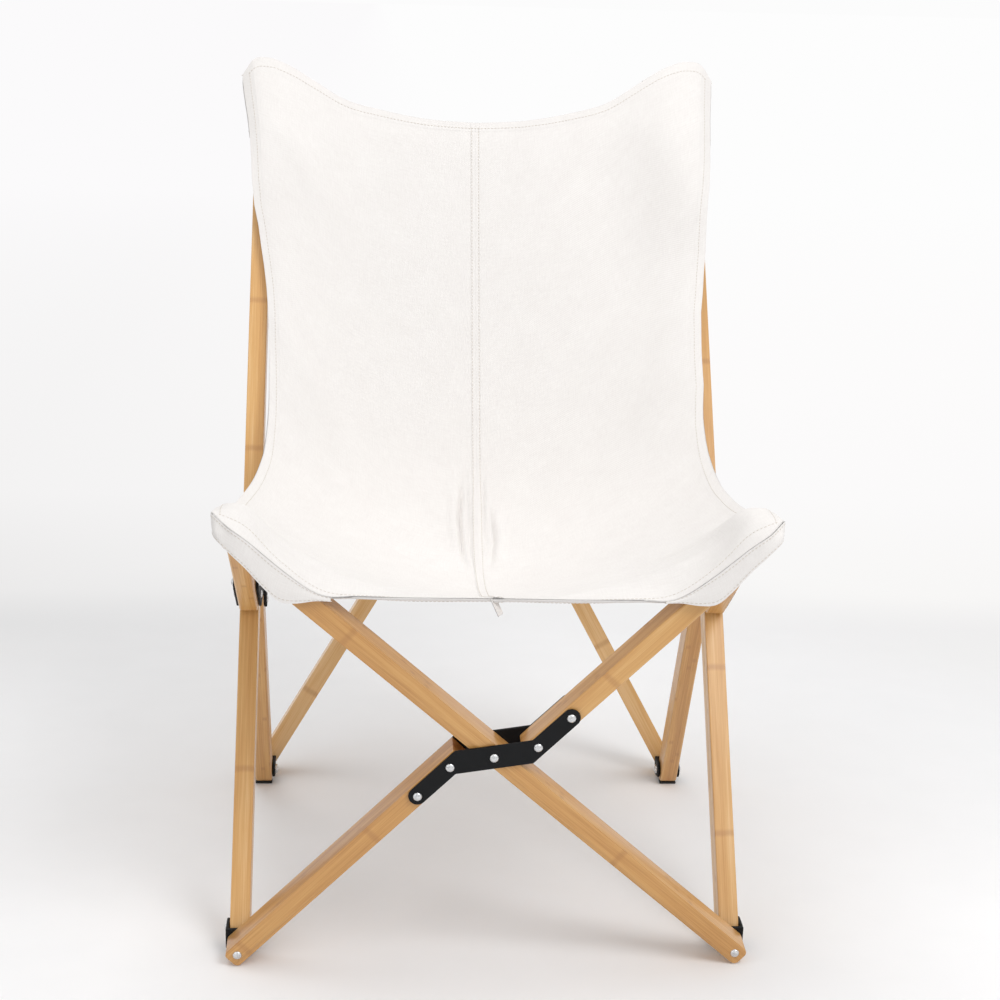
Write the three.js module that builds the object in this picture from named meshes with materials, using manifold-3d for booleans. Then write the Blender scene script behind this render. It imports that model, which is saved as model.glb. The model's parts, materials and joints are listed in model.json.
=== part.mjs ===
// Folding butterfly sling chair: four bamboo crosses, steel plates and brackets, and a canvas sling.
// Millimetres, +Z up, +Y towards the back of the chair, +X to the right of someone facing its front.
import * as THREE from 'three';
import Module from 'manifold-3d';

const wasm = await Module();
wasm.setup();
const { Manifold, CrossSection } = wasm;

// Driving sizes
const halfWidth = 250; // centre of the chair to the middle of each side frame
const pivotHeight = 18; // foot bolts above the floor
const rearFootDepth = 445; // front foot bolt to rear foot bolt
const backTopDepth = 540; // front foot bolt to the bolt at the top of the back
const backTopHeight = 838;
const seatFrontReach = 45; // seat front bolt ahead of the front foot bolt
const seatFrontHeight = 457;
const crossingDistance = 380; // front foot bolt to the side crossing, along the long bar

// Bamboo bars
const barWidth = 20; // the face seen from the front
const barDepth = 30;
const footCornerRadius = 6; // at the square foot ends of the cross bars
const padHeight = 3; // rubber pad under each flat-cut foot
const padMargin = 2;

// Steel plates, brackets and fasteners
const touchGap = 0.3; // between two pieces that touch
const turnGap = 0.6; // between a bar and the bracket cheeks it turns in
const plateThickness = 3;
const plateArmRadius = 9;
const plateHubRadius = 12;
const plateBendReach = 7; // from the nearer rivet to the bend, along the bar
const rivetReach = 39; // crossing pivot to the nearer rivet, along the bar
const rivetPitch = 44;
const barEndMargin = 14; // a half bar past its nearer rivet
const shankRadius = 3;
const holeGap = 0.35;
const holeRadius = shankRadius + holeGap;
const domeRadius = 4.6;
const domeHeight = 2.4;
const nutRadius = 5.5;
const tailRadius = 4;
const tailHeight = 1.6;
const nutHeight = 3.2;
const nutSides = 6;
const boltTip = 0.8; // past its nut
const cheekRadius = 10;
const webHalfHeight = 11;
const bracketPivotGap = 3.7; // from a round bar end to the bracket web
const seatSlideGap = 3.6; // the front cross turns past the seat brackets
const rearSlideGap = 0.8; // the rear cross turns past its upper and right brackets

// Canvas
const clothThickness = 1.6;
const pocketWall = 2.4;
const seatPocketRoom = 5.5; // from the bar ends to the outside of a pocket
const backPocketRoom = 14;
const pocketShoulder = 8;
const tagWidth = 12;
const tagHeight = 18;
const tagThickness = 1;

const roundSteps = 20;
const shankSteps = 16;
const overrun = 1; // cutters run this far past the faces they cut

// Places in the side plane, as depth and height
const frontFoot = new THREE.Vector2(0, pivotHeight);
const rearFoot = new THREE.Vector2(rearFootDepth, pivotHeight);
const backTop = new THREE.Vector2(backTopDepth, backTopHeight);
const seatFront = new THREE.Vector2(-seatFrontReach, seatFrontHeight);
const longDirection = backTop.clone().sub(frontFoot).normalize();
const crossing = frontFoot.clone().addScaledVector(longDirection, crossingDistance);

// The crosses lie this far outside the line through the foot and top bolts
const webFar = barDepth / 2 + bracketPivotGap + plateThickness;
const crossOffset = webFar + touchGap + barDepth / 2;

const materials = {
  bamboo: new THREE.MeshStandardMaterial({ color: 0xcfa56d, roughness: 0.55, metalness: 0 }),
  steel: new THREE.MeshStandardMaterial({ color: 0x17171a, roughness: 0.5, metalness: 0.6 }),
  zinc: new THREE.MeshStandardMaterial({ color: 0xc9cbce, roughness: 0.25, metalness: 1 }),
  rubber: new THREE.MeshStandardMaterial({ color: 0x1c1c1c, roughness: 0.8, metalness: 0 }),
  canvas: new THREE.MeshStandardMaterial({ color: 0xf4efe6, roughness: 0.9, metalness: 0 }),
};

const chair = new THREE.Group();

// A solid becomes one named mesh of the chair.
function addMesh(name, solid, material) {
  const mesh = solid.getMesh();
  const geometry = new THREE.BufferGeometry();
  geometry.setAttribute('position', new THREE.BufferAttribute(mesh.vertProperties, mesh.numProp));
  geometry.setIndex(new THREE.BufferAttribute(mesh.triVerts, 1));
  geometry.computeVertexNormals();
  const part = new THREE.Mesh(geometry, material);
  part.name = name;
  chair.add(part);
  return part;
}

// A work plane: solids are drawn along u and v and stand out along its normal.
function workPlane(origin, u, v) {
  const normal = new THREE.Vector3().crossVectors(u, v);
  return { origin, u, v, normal };
}

function place(solid, plane) {
  const matrix = new THREE.Matrix4().makeBasis(plane.u, plane.v, plane.normal);
  matrix.setPosition(plane.origin);
  return solid.transform(matrix.elements);
}

function disc(point, radius, steps = roundSteps) {
  return CrossSection.circle(radius, steps).translate([point.x, point.y]);
}

function capsule(from, to, radius) {
  return CrossSection.hull([disc(from, radius), disc(to, radius)]);
}

// A straight bar outline, round about its first point and square or round at its second.
function barOutline(from, to, width, squareEnd) {
  const along = to.clone().sub(from).normalize();
  const across = new THREE.Vector2(-along.y, along.x).multiplyScalar(width / 2);
  const end = squareEnd
    ? CrossSection.hull([
        [to.x + across.x, to.y + across.y],
        [to.x - across.x, to.y - across.y],
        [from.x, from.y],
      ])
    : disc(to, width / 2);
  return CrossSection.hull([disc(from, width / 2), end]);
}

// The same bar with a square end of eased corners about its first point.
function squareFoot(outline, foot, toward, width) {
  const along = toward.clone().sub(foot).normalize();
  const inset = width / 2 - footCornerRadius;
  const end = foot.clone().addScaledVector(along, -inset);
  const across = new THREE.Vector2(-along.y, along.x).multiplyScalar(inset);
  const corners = [end.clone().add(across), end.clone().sub(across)];
  return CrossSection.hull([outline, ...corners.map((corner) => disc(corner, footCornerRadius))]);
}

function slab(outline, low, high) {
  return outline.extrude(high - low).translate([0, 0, low]);
}

function pin(point, radius, low, high) {
  return slab(disc(point, radius, shankSteps), low, high);
}

// A low dome standing on the height base, up or down.
function dome(point, radius, height, base, side) {
  const crown = Manifold.cylinder(height, radius, radius / 2, shankSteps);
  const turned = side > 0 ? crown : crown.mirror([0, 0, 1]);
  return turned.translate([point.x, point.y, base]);
}

function drill(solid, points, low, high) {
  return points.reduce((rest, point) => rest.subtract(pin(point, holeRadius, low - overrun, high + overrun)), solid);
}

// The two rivet places on a half bar, and where that half bar ends, beside a crossing.
function halfBar(pivot, target, offset) {
  const along = target.clone().sub(pivot).normalize();
  const across = new THREE.Vector2(-along.y, along.x).multiplyScalar(offset);
  const near = pivot.clone().addScaledVector(along, rivetReach).add(across);
  const barDirection = target.clone().sub(near).normalize();
  const far = near.clone().addScaledVector(barDirection, rivetPitch);
  const end = near.clone().addScaledVector(barDirection, -barEndMargin);
  return { near, far, end, target };
}

// Where the edge of a plate's arm meets the edge of its middle, at one side of the bend.
function bendCorner(bend, arm, middle, side) {
  const turn = arm.x * middle.y - arm.y * middle.x;
  const along = (side * (plateArmRadius * arm.dot(middle) - plateHubRadius)) / turn;
  const across = new THREE.Vector2(-arm.y, arm.x).multiplyScalar(side * plateArmRadius);
  return bend.clone().add(across).addScaledVector(arm, along);
}

// The plate outline is a strip with two bends, which joins two half bars round the bar between them.
function plateOutline(pivot, first, second) {
  const arms = [];
  const corners = [];
  for (const half of [first, second]) {
    const arm = half.near.clone().sub(half.far).normalize();
    const bend = half.near.clone().addScaledVector(arm, plateBendReach);
    const middle = pivot.clone().sub(bend).normalize();
    const mitre = [1, -1].map((side) => bendCorner(bend, arm, middle, side));
    const armEnd = CrossSection.hull([...mitre, half.near].map((corner) => [corner.x, corner.y]));
    arms.push(CrossSection.hull([disc(half.far, plateArmRadius), armEnd]));
    corners.push(...mitre);
  }
  const middlePart = CrossSection.hull(corners.map((corner) => [corner.x, corner.y]));
  return CrossSection.union([...arms, middlePart]);
}

// Both plates, the four rivets that are part of the first, and the pivot rivet of one crossing.
function addPlates(names, plane, thickness, pivot, first, second, faceSide) {
  const face = thickness / 2 + touchGap;
  const outer = face + plateThickness;
  const outline = plateOutline(pivot, first, second);
  const rivets = [first.near, first.far, second.near, second.far];
  const flip = (solid) => (faceSide > 0 ? solid : solid.mirror([0, 0, 1]));
  const faceParts = rivets.flatMap((point) => [
    pin(point, shankRadius, touchGap - face, face + plateThickness / 2),
    dome(point, domeRadius, domeHeight, outer - touchGap, 1),
  ]);
  const facePlate = drill(slab(outline, face, outer), [pivot], face, outer);
  addMesh(names.face, place(flip(Manifold.union([facePlate, ...faceParts])), plane), materials.steel);
  const tails = rivets.map((point) => dome(point, tailRadius, tailHeight, touchGap - outer, -1));
  const backPlate = drill(slab(outline, -outer, -face), [pivot], -outer, -face);
  addMesh(names.back, place(flip(Manifold.union([backPlate, ...tails])), plane), materials.steel);
  const reach = outer + touchGap;
  const rivet = Manifold.union([
    pin(pivot, shankRadius, -reach - tailHeight / 2, reach + domeHeight / 2),
    dome(pivot, domeRadius, domeHeight, reach, 1),
    dome(pivot, tailRadius, tailHeight, -reach, -1),
  ]);
  addMesh(names.pivot, place(flip(rivet), plane), materials.zinc);
}

// One flat cross: a bar from the upper left to the lower right, and two half bars round it.
function addCross(prefix, plane, height) {
  const leftFoot = new THREE.Vector2(-halfWidth, 0);
  const rightFoot = new THREE.Vector2(halfWidth, 0);
  const leftTop = new THREE.Vector2(-halfWidth, height);
  const rightTop = new THREE.Vector2(halfWidth, height);
  const pivot = new THREE.Vector2(0, height / 2);
  const lower = halfBar(pivot, leftFoot, -barWidth);
  const upper = halfBar(pivot, rightTop, -barWidth);
  const low = -barDepth / 2;
  const high = barDepth / 2;
  const wholeOutline = squareFoot(barOutline(rightFoot, leftTop, barWidth, false), rightFoot, leftTop, barWidth);
  const whole = slab(wholeOutline, low, high);
  addMesh(`${prefix}_through_bar`, place(drill(whole, [rightFoot, leftTop, pivot], low, high), plane), materials.bamboo);
  for (const [half, name] of [[lower, 'lower'], [upper, 'upper']]) {
    const plain = barOutline(half.target, half.end, barWidth, true);
    const outline = half === lower ? squareFoot(plain, leftFoot, half.end, barWidth) : plain;
    const solid = slab(outline, low, high);
    const drilled = drill(solid, [half.target, half.near, half.far], low, high);
    addMesh(`${prefix}_${name}_half_bar`, place(drilled, plane), materials.bamboo);
  }
  const names = { face: `${prefix}_face_plate`, back: `${prefix}_back_plate`, pivot: `${prefix}_pivot_rivet` };
  addPlates(names, plane, barDepth, pivot, lower, upper, 1);
}

// The rivet through a cross bar at one corner, with or without its stretch through the bracket web.
function addCornerRivet(name, plane, point, throughWeb) {
  const face = barDepth / 2 + touchGap;
  const back = throughWeb ? face + plateThickness + touchGap : barDepth / 2 - touchGap;
  const parts = [pin(point, shankRadius, -back, face + domeHeight / 2), dome(point, domeRadius, domeHeight, face, 1)];
  if (throughWeb) {
    parts.push(dome(point, tailRadius, tailHeight, -back, -1));
  }
  addMesh(name, place(Manifold.union(parts), plane), materials.zinc);
}

// One U bracket at the end of a side bar, its cheeks about the bar and its web against the cross.
function addBracket(name, plane, slideGap, drilled) {
  const cheekIn = barWidth / 2 + turnGap;
  const cheekOut = cheekIn + plateThickness;
  const webHigh = crossOffset - barDepth / 2 - slideGap;
  const webLow = webHigh - plateThickness;
  const outline = CrossSection.hull([
    CrossSection.circle(cheekRadius, roundSteps),
    CrossSection.square([2 * webHalfHeight, webHigh - webLow]).translate([-webHalfHeight, webLow]),
  ]).subtract(CrossSection.circle(holeRadius, shankSteps));
  const sideways = new THREE.Matrix4().makeBasis(
    new THREE.Vector3(0, 1, 0),
    new THREE.Vector3(0, 0, 1),
    new THREE.Vector3(1, 0, 0),
  );
  const block = outline.extrude(2 * cheekOut).transform(sideways.elements).translate([-cheekOut, 0, 0]);
  const slotReach = cheekRadius + webHalfHeight;
  const slot = Manifold.cube([2 * cheekIn, 2 * slotReach, slotReach + webLow])
    .translate([-cheekIn, -slotReach, -slotReach]);
  const solid = block.subtract(slot);
  const centre = new THREE.Vector2(0, 0);
  const finished = drilled ? drill(solid, [centre], webLow, webHigh) : solid;
  addMesh(name, place(finished, plane), materials.steel);
}

// The bolt through a bracket and the side bar, with a round head outside and a nut inside.
function addBolt(name, point, side) {
  const reach = barWidth / 2 + turnGap + plateThickness + touchGap;
  const centre = new THREE.Vector2(0, 0);
  const nut = slab(CrossSection.circle(nutRadius, nutSides), -reach - nutHeight, -reach);
  const bolt = Manifold.union([
    pin(centre, shankRadius, -reach - nutHeight - boltTip, reach + domeHeight / 2),
    dome(centre, domeRadius, domeHeight, reach, 1),
    nut,
  ]);
  const turned = side > 0 ? bolt : bolt.mirror([0, 0, 1]);
  const origin = new THREE.Vector3(side * halfWidth, point.x, point.y);
  addMesh(name, place(turned, workPlane(origin, new THREE.Vector3(0, 1, 0), new THREE.Vector3(0, 0, 1))), materials.zinc);
}

// One side frame: the long bar, the rear leg and seat rail round it, plates and foot pads.
function addSide(prefix, side) {
  const origin = new THREE.Vector3(side * halfWidth, 0, 0);
  const plane = workPlane(origin, new THREE.Vector3(0, 1, 0), new THREE.Vector3(0, 0, 1));
  const low = -barWidth / 2;
  const high = barWidth / 2;
  const floorCut = Manifold.cube([4 * backTopDepth, 2 * barDepth, 4 * barWidth])
    .translate([-2 * backTopDepth, padHeight + touchGap - 2 * barDepth, -2 * barWidth]);
  const leg = halfBar(crossing, rearFoot, barDepth);
  const rail = halfBar(crossing, seatFront, barDepth);
  const pieces = [
    ['long_bar', barOutline(frontFoot, backTop, barDepth, false), [frontFoot, backTop, crossing]],
    ['rear_leg', barOutline(rearFoot, leg.end, barDepth, true), [rearFoot, leg.near, leg.far]],
    ['seat_rail', barOutline(seatFront, rail.end, barDepth, true), [seatFront, rail.near, rail.far]],
  ];
  for (const [name, outline, holes] of pieces) {
    const solid = drill(slab(outline, low, high), holes, low, high).subtract(floorCut);
    addMesh(`${prefix}_${name}`, place(solid, plane), materials.bamboo);
  }
  const names = {
    face: `${prefix}_side_outer_plate`,
    back: `${prefix}_side_inner_plate`,
    pivot: `${prefix}_side_pivot_rivet`,
  };
  addPlates(names, plane, barWidth, crossing, leg, rail, side);
  const padReach = Math.sqrt((barDepth / 2) ** 2 - (pivotHeight - padHeight - touchGap) ** 2) + padMargin;
  for (const [name, foot] of [['front', frontFoot], ['rear', rearFoot]]) {
    const pad = Manifold.cube([barWidth, 2 * padReach, padHeight])
      .translate([side * halfWidth - barWidth / 2, foot.x - padReach, 0]);
    addMesh(`${prefix}_${name}_foot_pad`, pad, materials.rubber);
  }
}

// Planes of the two crosses, and of the brackets that share their slant
const right = new THREE.Vector3(1, 0, 0);
const left = new THREE.Vector3(-1, 0, 0);

function slant(low, high) {
  const direction = high.clone().sub(low);
  return { length: direction.length(), along: new THREE.Vector3(0, direction.x, direction.y).normalize() };
}

const frontSlant = slant(frontFoot, seatFront);
const rearSlant = slant(rearFoot, backTop);

function crossPlane(u, line, foot) {
  const plane = workPlane(new THREE.Vector3(0, foot.x, foot.y), u, line.along);
  plane.origin.addScaledVector(plane.normal, crossOffset);
  return plane;
}

const frontPlane = crossPlane(right, frontSlant, frontFoot);
const rearPlane = crossPlane(left, rearSlant, rearFoot);

addCross('front_cross', frontPlane, frontSlant.length);
addCross('rear_cross', rearPlane, rearSlant.length);
addSide('left', -1);
addSide('right', 1);

// Corner hardware: where the cross turns on its bracket the rivet goes through the web
const corners = [
  { name: 'front_left_foot', side: -1, point: frontFoot, front: true, slide: touchGap, pinned: true },
  { name: 'front_right_foot', side: 1, point: frontFoot, front: true, slide: touchGap, pinned: true },
  { name: 'rear_left_foot', side: -1, point: rearFoot, front: false, slide: touchGap, pinned: true },
  { name: 'rear_right_foot', side: 1, point: rearFoot, front: false, slide: rearSlideGap, pinned: false },
  { name: 'seat_left', side: -1, point: seatFront, front: true, slide: seatSlideGap, pinned: false },
  { name: 'seat_right', side: 1, point: seatFront, front: true, slide: seatSlideGap, pinned: false },
  { name: 'back_left_top', side: -1, point: backTop, front: false, slide: rearSlideGap, pinned: false },
  { name: 'back_right_top', side: 1, point: backTop, front: false, slide: rearSlideGap, pinned: false },
];

for (const corner of corners) {
  const line = corner.front ? frontSlant : rearSlant;
  const u = corner.front ? right : left;
  const origin = new THREE.Vector3(corner.side * halfWidth, corner.point.x, corner.point.y);
  addBracket(`${corner.name}_bracket`, workPlane(origin, u, line.along), corner.slide, corner.pinned);
  addBolt(`${corner.name}_bolt`, corner.point, corner.side);
  const crossPlaneHere = corner.front ? frontPlane : rearPlane;
  const across = corner.front ? corner.side * halfWidth : -corner.side * halfWidth;
  const isFoot = corner.point.y === pivotHeight;
  const rivetPlace = new THREE.Vector2(across, isFoot ? 0 : line.length);
  addCornerRivet(`${corner.name}_rivet`, crossPlaneHere, rivetPlace, corner.pinned);
}

// Canvas: depth runs from the seat front bolts to the back top bolts, height from the floor to those bolts
const clothDepth = backTopDepth + seatFrontReach;
const pocketSide = halfWidth + barWidth / 2 + turnGap + plateThickness + 2 * domeHeight + pocketWall;

// Back pocket: a cap over the top of the long bar and the cross bar, open below and inwards
const backPocketInner = halfWidth - (barWidth / 2 + plateThickness + domeHeight + touchGap);
const backPocketDrop = 86;
const backPocketTop = backTopHeight + barDepth / 2 + backPocketRoom;
const backPocketRear = backTopDepth + crossOffset + barDepth / 2 + domeHeight + 2 * touchGap + pocketWall;
const backPocketFront = backTopDepth - barDepth / 2 + pocketWall;
const backPocketSlope = (backPocketDrop * longDirection.x) / longDirection.y; // the front wall lies along the long bar
const shoulderHeight = backPocketTop - pocketShoulder;
const frontWallSlope = backPocketSlope / (backPocketDrop - pocketShoulder);

function backPocket(side) {
  const outline = (wall, extra) => CrossSection.hull([
    [backPocketFront + wall, shoulderHeight - wall],
    [backPocketFront + 2 * pocketShoulder, backPocketTop - wall],
    [backPocketRear - wall, shoulderHeight - wall],
    [backPocketRear - wall, backPocketTop - backPocketDrop - extra],
    [backPocketFront - backPocketSlope + wall, backPocketTop - backPocketDrop - extra],
  ]);
  const shell = outline(0, 0).extrude(pocketSide - backPocketInner).translate([0, 0, backPocketInner]);
  const room = outline(pocketWall, pocketWall).extrude(pocketSide - backPocketInner - pocketWall + overrun)
    .translate([0, 0, backPocketInner - overrun]);
  const cap = place(shell.subtract(room), workPlane(
    new THREE.Vector3(0, 0, 0),
    new THREE.Vector3(0, 1, 0),
    new THREE.Vector3(0, 0, 1),
  ));
  return side > 0 ? cap : cap.mirror([1, 0, 0]);
}

// Seat pocket: a cap over the ends of the rail and the cross bar, open to the rear, below and inwards.
// Its front hangs in a crescent from the slant of the cross bar.
const seatPocketTop = seatFrontHeight + barDepth / 2 + seatPocketRoom;
const seatPocketFront = -seatFrontReach - crossOffset - barDepth / 2 - 2 * domeHeight - pocketWall;
const seatPocketRear = -seatFrontReach + touchGap;
const seatPocketShoulder = 32; // the flat top ends this far inside the outer wall
const seatPocketTipInset = 106; // the inner tip of the crescent, inside the outer wall
const seatPocketTipRise = 15; // the tip's top above a line from the flat top along the slant of the cross bars
const crossSlope = (seatFrontHeight - pivotHeight) / (2 * halfWidth);
const seatPocketTipDrop = seatPocketTipInset * crossSlope - seatPocketTipRise;
const seatPocketTipDepth = 11;
const crescentShares = [[0.33, 1.2], [0.55, 0.96], [0.83, 0.62], [1, 0.28]]; // outwards from the tip, and down

function seatPocket(side) {
  const tipSide = pocketSide - seatPocketTipInset;
  const crescentDrop = seatPocketTipDrop;
  const outline = (wall, extra) => CrossSection.hull([
    [pocketSide - wall, seatPocketTop - wall],
    [pocketSide - seatPocketShoulder, seatPocketTop - wall],
    [tipSide - extra, seatPocketTop - seatPocketTipDrop - 1.5 * wall - extra],
    [tipSide - extra, seatPocketTop - seatPocketTipDrop - seatPocketTipDepth - extra],
    ...crescentShares.map(([out, down]) => [
      tipSide + out * seatPocketTipInset - wall,
      seatPocketTop - down * crescentDrop - extra,
    ]),
  ]);
  const depth = seatPocketRear - seatPocketFront;
  const shell = outline(0, 0).extrude(depth);
  const room = outline(pocketWall, 2 * seatPocketTipDepth).extrude(depth).translate([0, 0, -pocketWall]);
  const plane = workPlane(
    new THREE.Vector3(0, seatPocketRear, 0),
    new THREE.Vector3(1, 0, 0),
    new THREE.Vector3(0, 0, 1),
  );
  const standing = place(shell.subtract(room), plane);
  return side > 0 ? standing : standing.mirror([1, 0, 0]);
}

// Rows of shares from the front hem to the top hem: depth and height down the middle; depth, height and
// side place of the edge; where the cloth starts and stops to rise from middle to edge, and how sharply
const clothRowShares = [
  [-0.074, 0.468, 0.003, 0.568, 1.070, 0.58, 0.88, 1.1],
  [0.009, 0.444, 0.077, 0.548, 1.052, 0.50, 0.90, 1.2],
  [0.103, 0.422, 0.179, 0.533, 1.032, 0.35, 0.95, 1.4],
  [0.205, 0.407, 0.282, 0.531, 1.012, 0.20, 1.00, 1.6],
  [0.308, 0.400, 0.376, 0.536, 0.992, 0.10, 1.00, 1.8],
  [0.410, 0.403, 0.462, 0.553, 0.976, 0.00, 1.00, 1.9],
  [0.496, 0.432, 0.535, 0.591, 0.964, 0.00, 1.00, 1.9],
  [0.576, 0.489, 0.593, 0.636, 0.964, 0.00, 1.00, 1.9],
  [0.658, 0.575, 0.663, 0.696, 0.976, 0.00, 1.00, 1.8],
  [0.747, 0.680, 0.744, 0.782, 1.000, 0.00, 1.00, 1.8],
  [0.838, 0.802, 0.821, 0.877, 1.032, 0.00, 1.00, 1.7],
  [0.918, 0.913, 0.904, 0.958, 1.064, 0.00, 1.00, 1.6],
  [0.954, 0.956, 0.954, 1.006, 1.076, 0.00, 1.00, 1.6],
];
const clothRows = 26;
const clothColumns = 16;
const valleyRow = 10; // the seat piece ends and the back piece starts on this row
const foldDepth = 4; // folds that run from the middle of the seat to its corners
const foldCount = 3;
const foldReach = 0.5; // share of the length that the folds cross
const hemStep = [0.5, 0.6]; // shares of the half width where the front hem steps back to the pockets
const hemStepReach = 0.33; // share of the length over which that step fades
const pocketRest = 12; // the cloth lies on a back pocket from this far inside and below it
const pocketRestDrop = 46;

const middleCurve = new THREE.CatmullRomCurve3(clothRowShares.map(
  (row) => new THREE.Vector3(0, row[0] * clothDepth - seatFrontReach, row[1] * backTopHeight),
));
const edgeCurve = new THREE.CatmullRomCurve3(clothRowShares.map(
  (row) => new THREE.Vector3(row[4] * halfWidth, row[2] * clothDepth - seatFrontReach, row[3] * backTopHeight),
));

// The rise's start, stop and sharpness at one place along the cloth, between its rows
function riseAt(along) {
  const place = along * (clothRowShares.length - 1);
  const row = Math.min(Math.floor(place), clothRowShares.length - 2);
  const part = place - row;
  return [5, 6, 7].map((column) => THREE.MathUtils.lerp(
    clothRowShares[row][column],
    clothRowShares[row + 1][column],
    part,
  ));
}

function clothPoint(along, across) {
  const middle = middleCurve.getPoint(along);
  const edge = edgeCurve.getPoint(along);
  const out = Math.abs(across);
  const [start, stop, sharpness] = riseAt(along);
  const rise = THREE.MathUtils.clamp((out - start) / (stop - start), 0, 1) ** sharpness;
  const fade = Math.min(1, along / hemStepReach);
  const stepStart = THREE.MathUtils.lerp(hemStep[0], 0, fade);
  const stepStop = THREE.MathUtils.lerp(hemStep[1], 1, fade);
  const step = THREE.MathUtils.clamp((out - stepStart) / (stepStop - stepStart), 0, 1);
  const point = new THREE.Vector3(
    across * edge.x,
    THREE.MathUtils.lerp(middle.y, edge.y, step ** (1 + fade)),
    THREE.MathUtils.lerp(middle.z, edge.z, rise),
  );
  const calm = Math.sin(Math.PI * out) * Math.sin(Math.PI * Math.min(1, along / foldReach));
  point.z += foldDepth * calm * Math.cos(foldCount * Math.PI * (out + along / foldReach)) / 2;
  const restHeight = backPocketTop - backPocketDrop - pocketRestDrop;
  if (Math.abs(point.x) > backPocketInner - pocketRest && point.z > restHeight) {
    const wall = backPocketFront - (shoulderHeight - point.z) * frontWallSlope;
    point.y = Math.min(point.y, wall - 1.5 * clothThickness - touchGap);
  }
  return point;
}

// A closed sheet between two rows of the sling, of even thickness.
function clothSheet(firstRow, lastRow, trim) {
  const rows = lastRow - firstRow;
  const positions = [];
  const step = 1e-3;
  for (const layer of [0, 1]) {
    for (let row = 0; row <= rows; row += 1) {
      for (let column = 0; column <= clothColumns; column += 1) {
        const along = THREE.MathUtils.clamp((firstRow + row) / clothRows, 0, 1) + (row === 0 ? trim : 0);
        const across = (2 * column) / clothColumns - 1;
        const point = clothPoint(along, across);
        const ahead = clothPoint(Math.min(along + step, 1), across).sub(clothPoint(Math.max(along - step, 0), across));
        const beside = clothPoint(along, across + step).sub(clothPoint(along, across - step));
        const normal = new THREE.Vector3().crossVectors(beside, ahead).normalize();
        point.addScaledVector(normal, (layer - 0.5) * clothThickness);
        positions.push(point.x, point.y, point.z);
      }
    }
  }
  const width = clothColumns + 1;
  const layerSize = (rows + 1) * width;
  const triangles = [];
  const quad = (a, b, c, d) => triangles.push(a, b, c, a, c, d);
  for (let row = 0; row < rows; row += 1) {
    for (let column = 0; column < clothColumns; column += 1) {
      const a = row * width + column;
      quad(a, a + width, a + width + 1, a + 1);
      quad(layerSize + a, layerSize + a + 1, layerSize + a + width + 1, layerSize + a + width);
    }
  }
  for (let column = 0; column < clothColumns; column += 1) {
    const end = rows * width + column;
    quad(column, column + 1, layerSize + column + 1, layerSize + column);
    quad(end, layerSize + end, layerSize + end + 1, end + 1);
  }
  for (let row = 0; row < rows; row += 1) {
    const a = row * width;
    const b = a + clothColumns;
    quad(a, layerSize + a, layerSize + a + width, a + width);
    quad(b, b + width, layerSize + b + width, layerSize + b);
  }
  const mesh = new wasm.Mesh({
    numProp: 3,
    vertProperties: new Float32Array(positions),
    triVerts: new Uint32Array(triangles),
  });
  return new Manifold(mesh);
}

const valleyTrim = touchGap / clothDepth;
addMesh('canvas_seat', clothSheet(0, valleyRow, 0), materials.canvas);
addMesh('canvas_back', clothSheet(valleyRow, clothRows, valleyTrim), materials.canvas);

for (const [name, side] of [['left', -1], ['right', 1]]) {
  addMesh(`${name}_seat_pocket`, seatPocket(side), materials.canvas);
  addMesh(`${name}_back_pocket`, backPocket(side), materials.canvas);
}

// Bare tag sewn under the middle of the front hem
const hemMiddle = clothPoint(0, 0);
const tag = Manifold.cube([tagWidth, tagThickness, tagHeight])
  .translate([0, hemMiddle.y, hemMiddle.z - clothThickness - tagHeight]);
addMesh('hem_tag', tag, materials.canvas);

// The origin is on the floor under the middle of the chair's extent
const extent = new THREE.Box3().setFromObject(chair);
const middle = extent.getCenter(new THREE.Vector3());
chair.position.set(-middle.x, -middle.y, -extent.min.z);

export default chair;
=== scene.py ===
"""A folding butterfly sling chair: laminated bamboo bars, black steel plates and brackets, bright rivets,
and an off-white canvas sling sewn over its four corners. Metres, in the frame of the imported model."""

import json
import math

import bmesh
import bpy
import numpy as np
from mathutils import Matrix, Vector
from mathutils.bvhtree import BVHTree


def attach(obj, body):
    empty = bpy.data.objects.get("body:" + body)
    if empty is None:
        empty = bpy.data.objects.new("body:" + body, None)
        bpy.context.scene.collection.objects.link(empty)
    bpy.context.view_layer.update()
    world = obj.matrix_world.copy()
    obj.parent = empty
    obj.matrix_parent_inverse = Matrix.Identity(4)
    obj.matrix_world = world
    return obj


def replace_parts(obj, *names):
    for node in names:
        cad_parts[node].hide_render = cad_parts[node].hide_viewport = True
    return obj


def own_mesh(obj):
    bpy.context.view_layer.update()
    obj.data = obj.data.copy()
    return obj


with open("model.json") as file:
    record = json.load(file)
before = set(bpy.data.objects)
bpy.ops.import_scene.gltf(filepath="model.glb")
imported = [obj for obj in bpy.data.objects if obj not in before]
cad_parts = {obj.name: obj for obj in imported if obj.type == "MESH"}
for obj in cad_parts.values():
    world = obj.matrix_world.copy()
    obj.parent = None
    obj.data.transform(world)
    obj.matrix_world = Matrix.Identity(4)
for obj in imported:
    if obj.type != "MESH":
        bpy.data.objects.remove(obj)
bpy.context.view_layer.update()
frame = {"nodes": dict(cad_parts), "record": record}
MM = 0.001
X_AXIS, Y_AXIS, Z_AXIS = Vector((1, 0, 0)), Vector((0, 1, 0)), Vector((0, 0, 1))


def new_object(name, data, finish=None):
    thing = bpy.data.objects.new(name, data)
    bpy.context.collection.objects.link(thing)
    if finish:
        data.materials.clear()
        data.materials.append(finish)
    return thing


def new_mesh(name, places, edges, faces):
    mesh = bpy.data.meshes.new(name)
    mesh.from_pydata(places, edges, faces)
    return mesh


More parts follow.
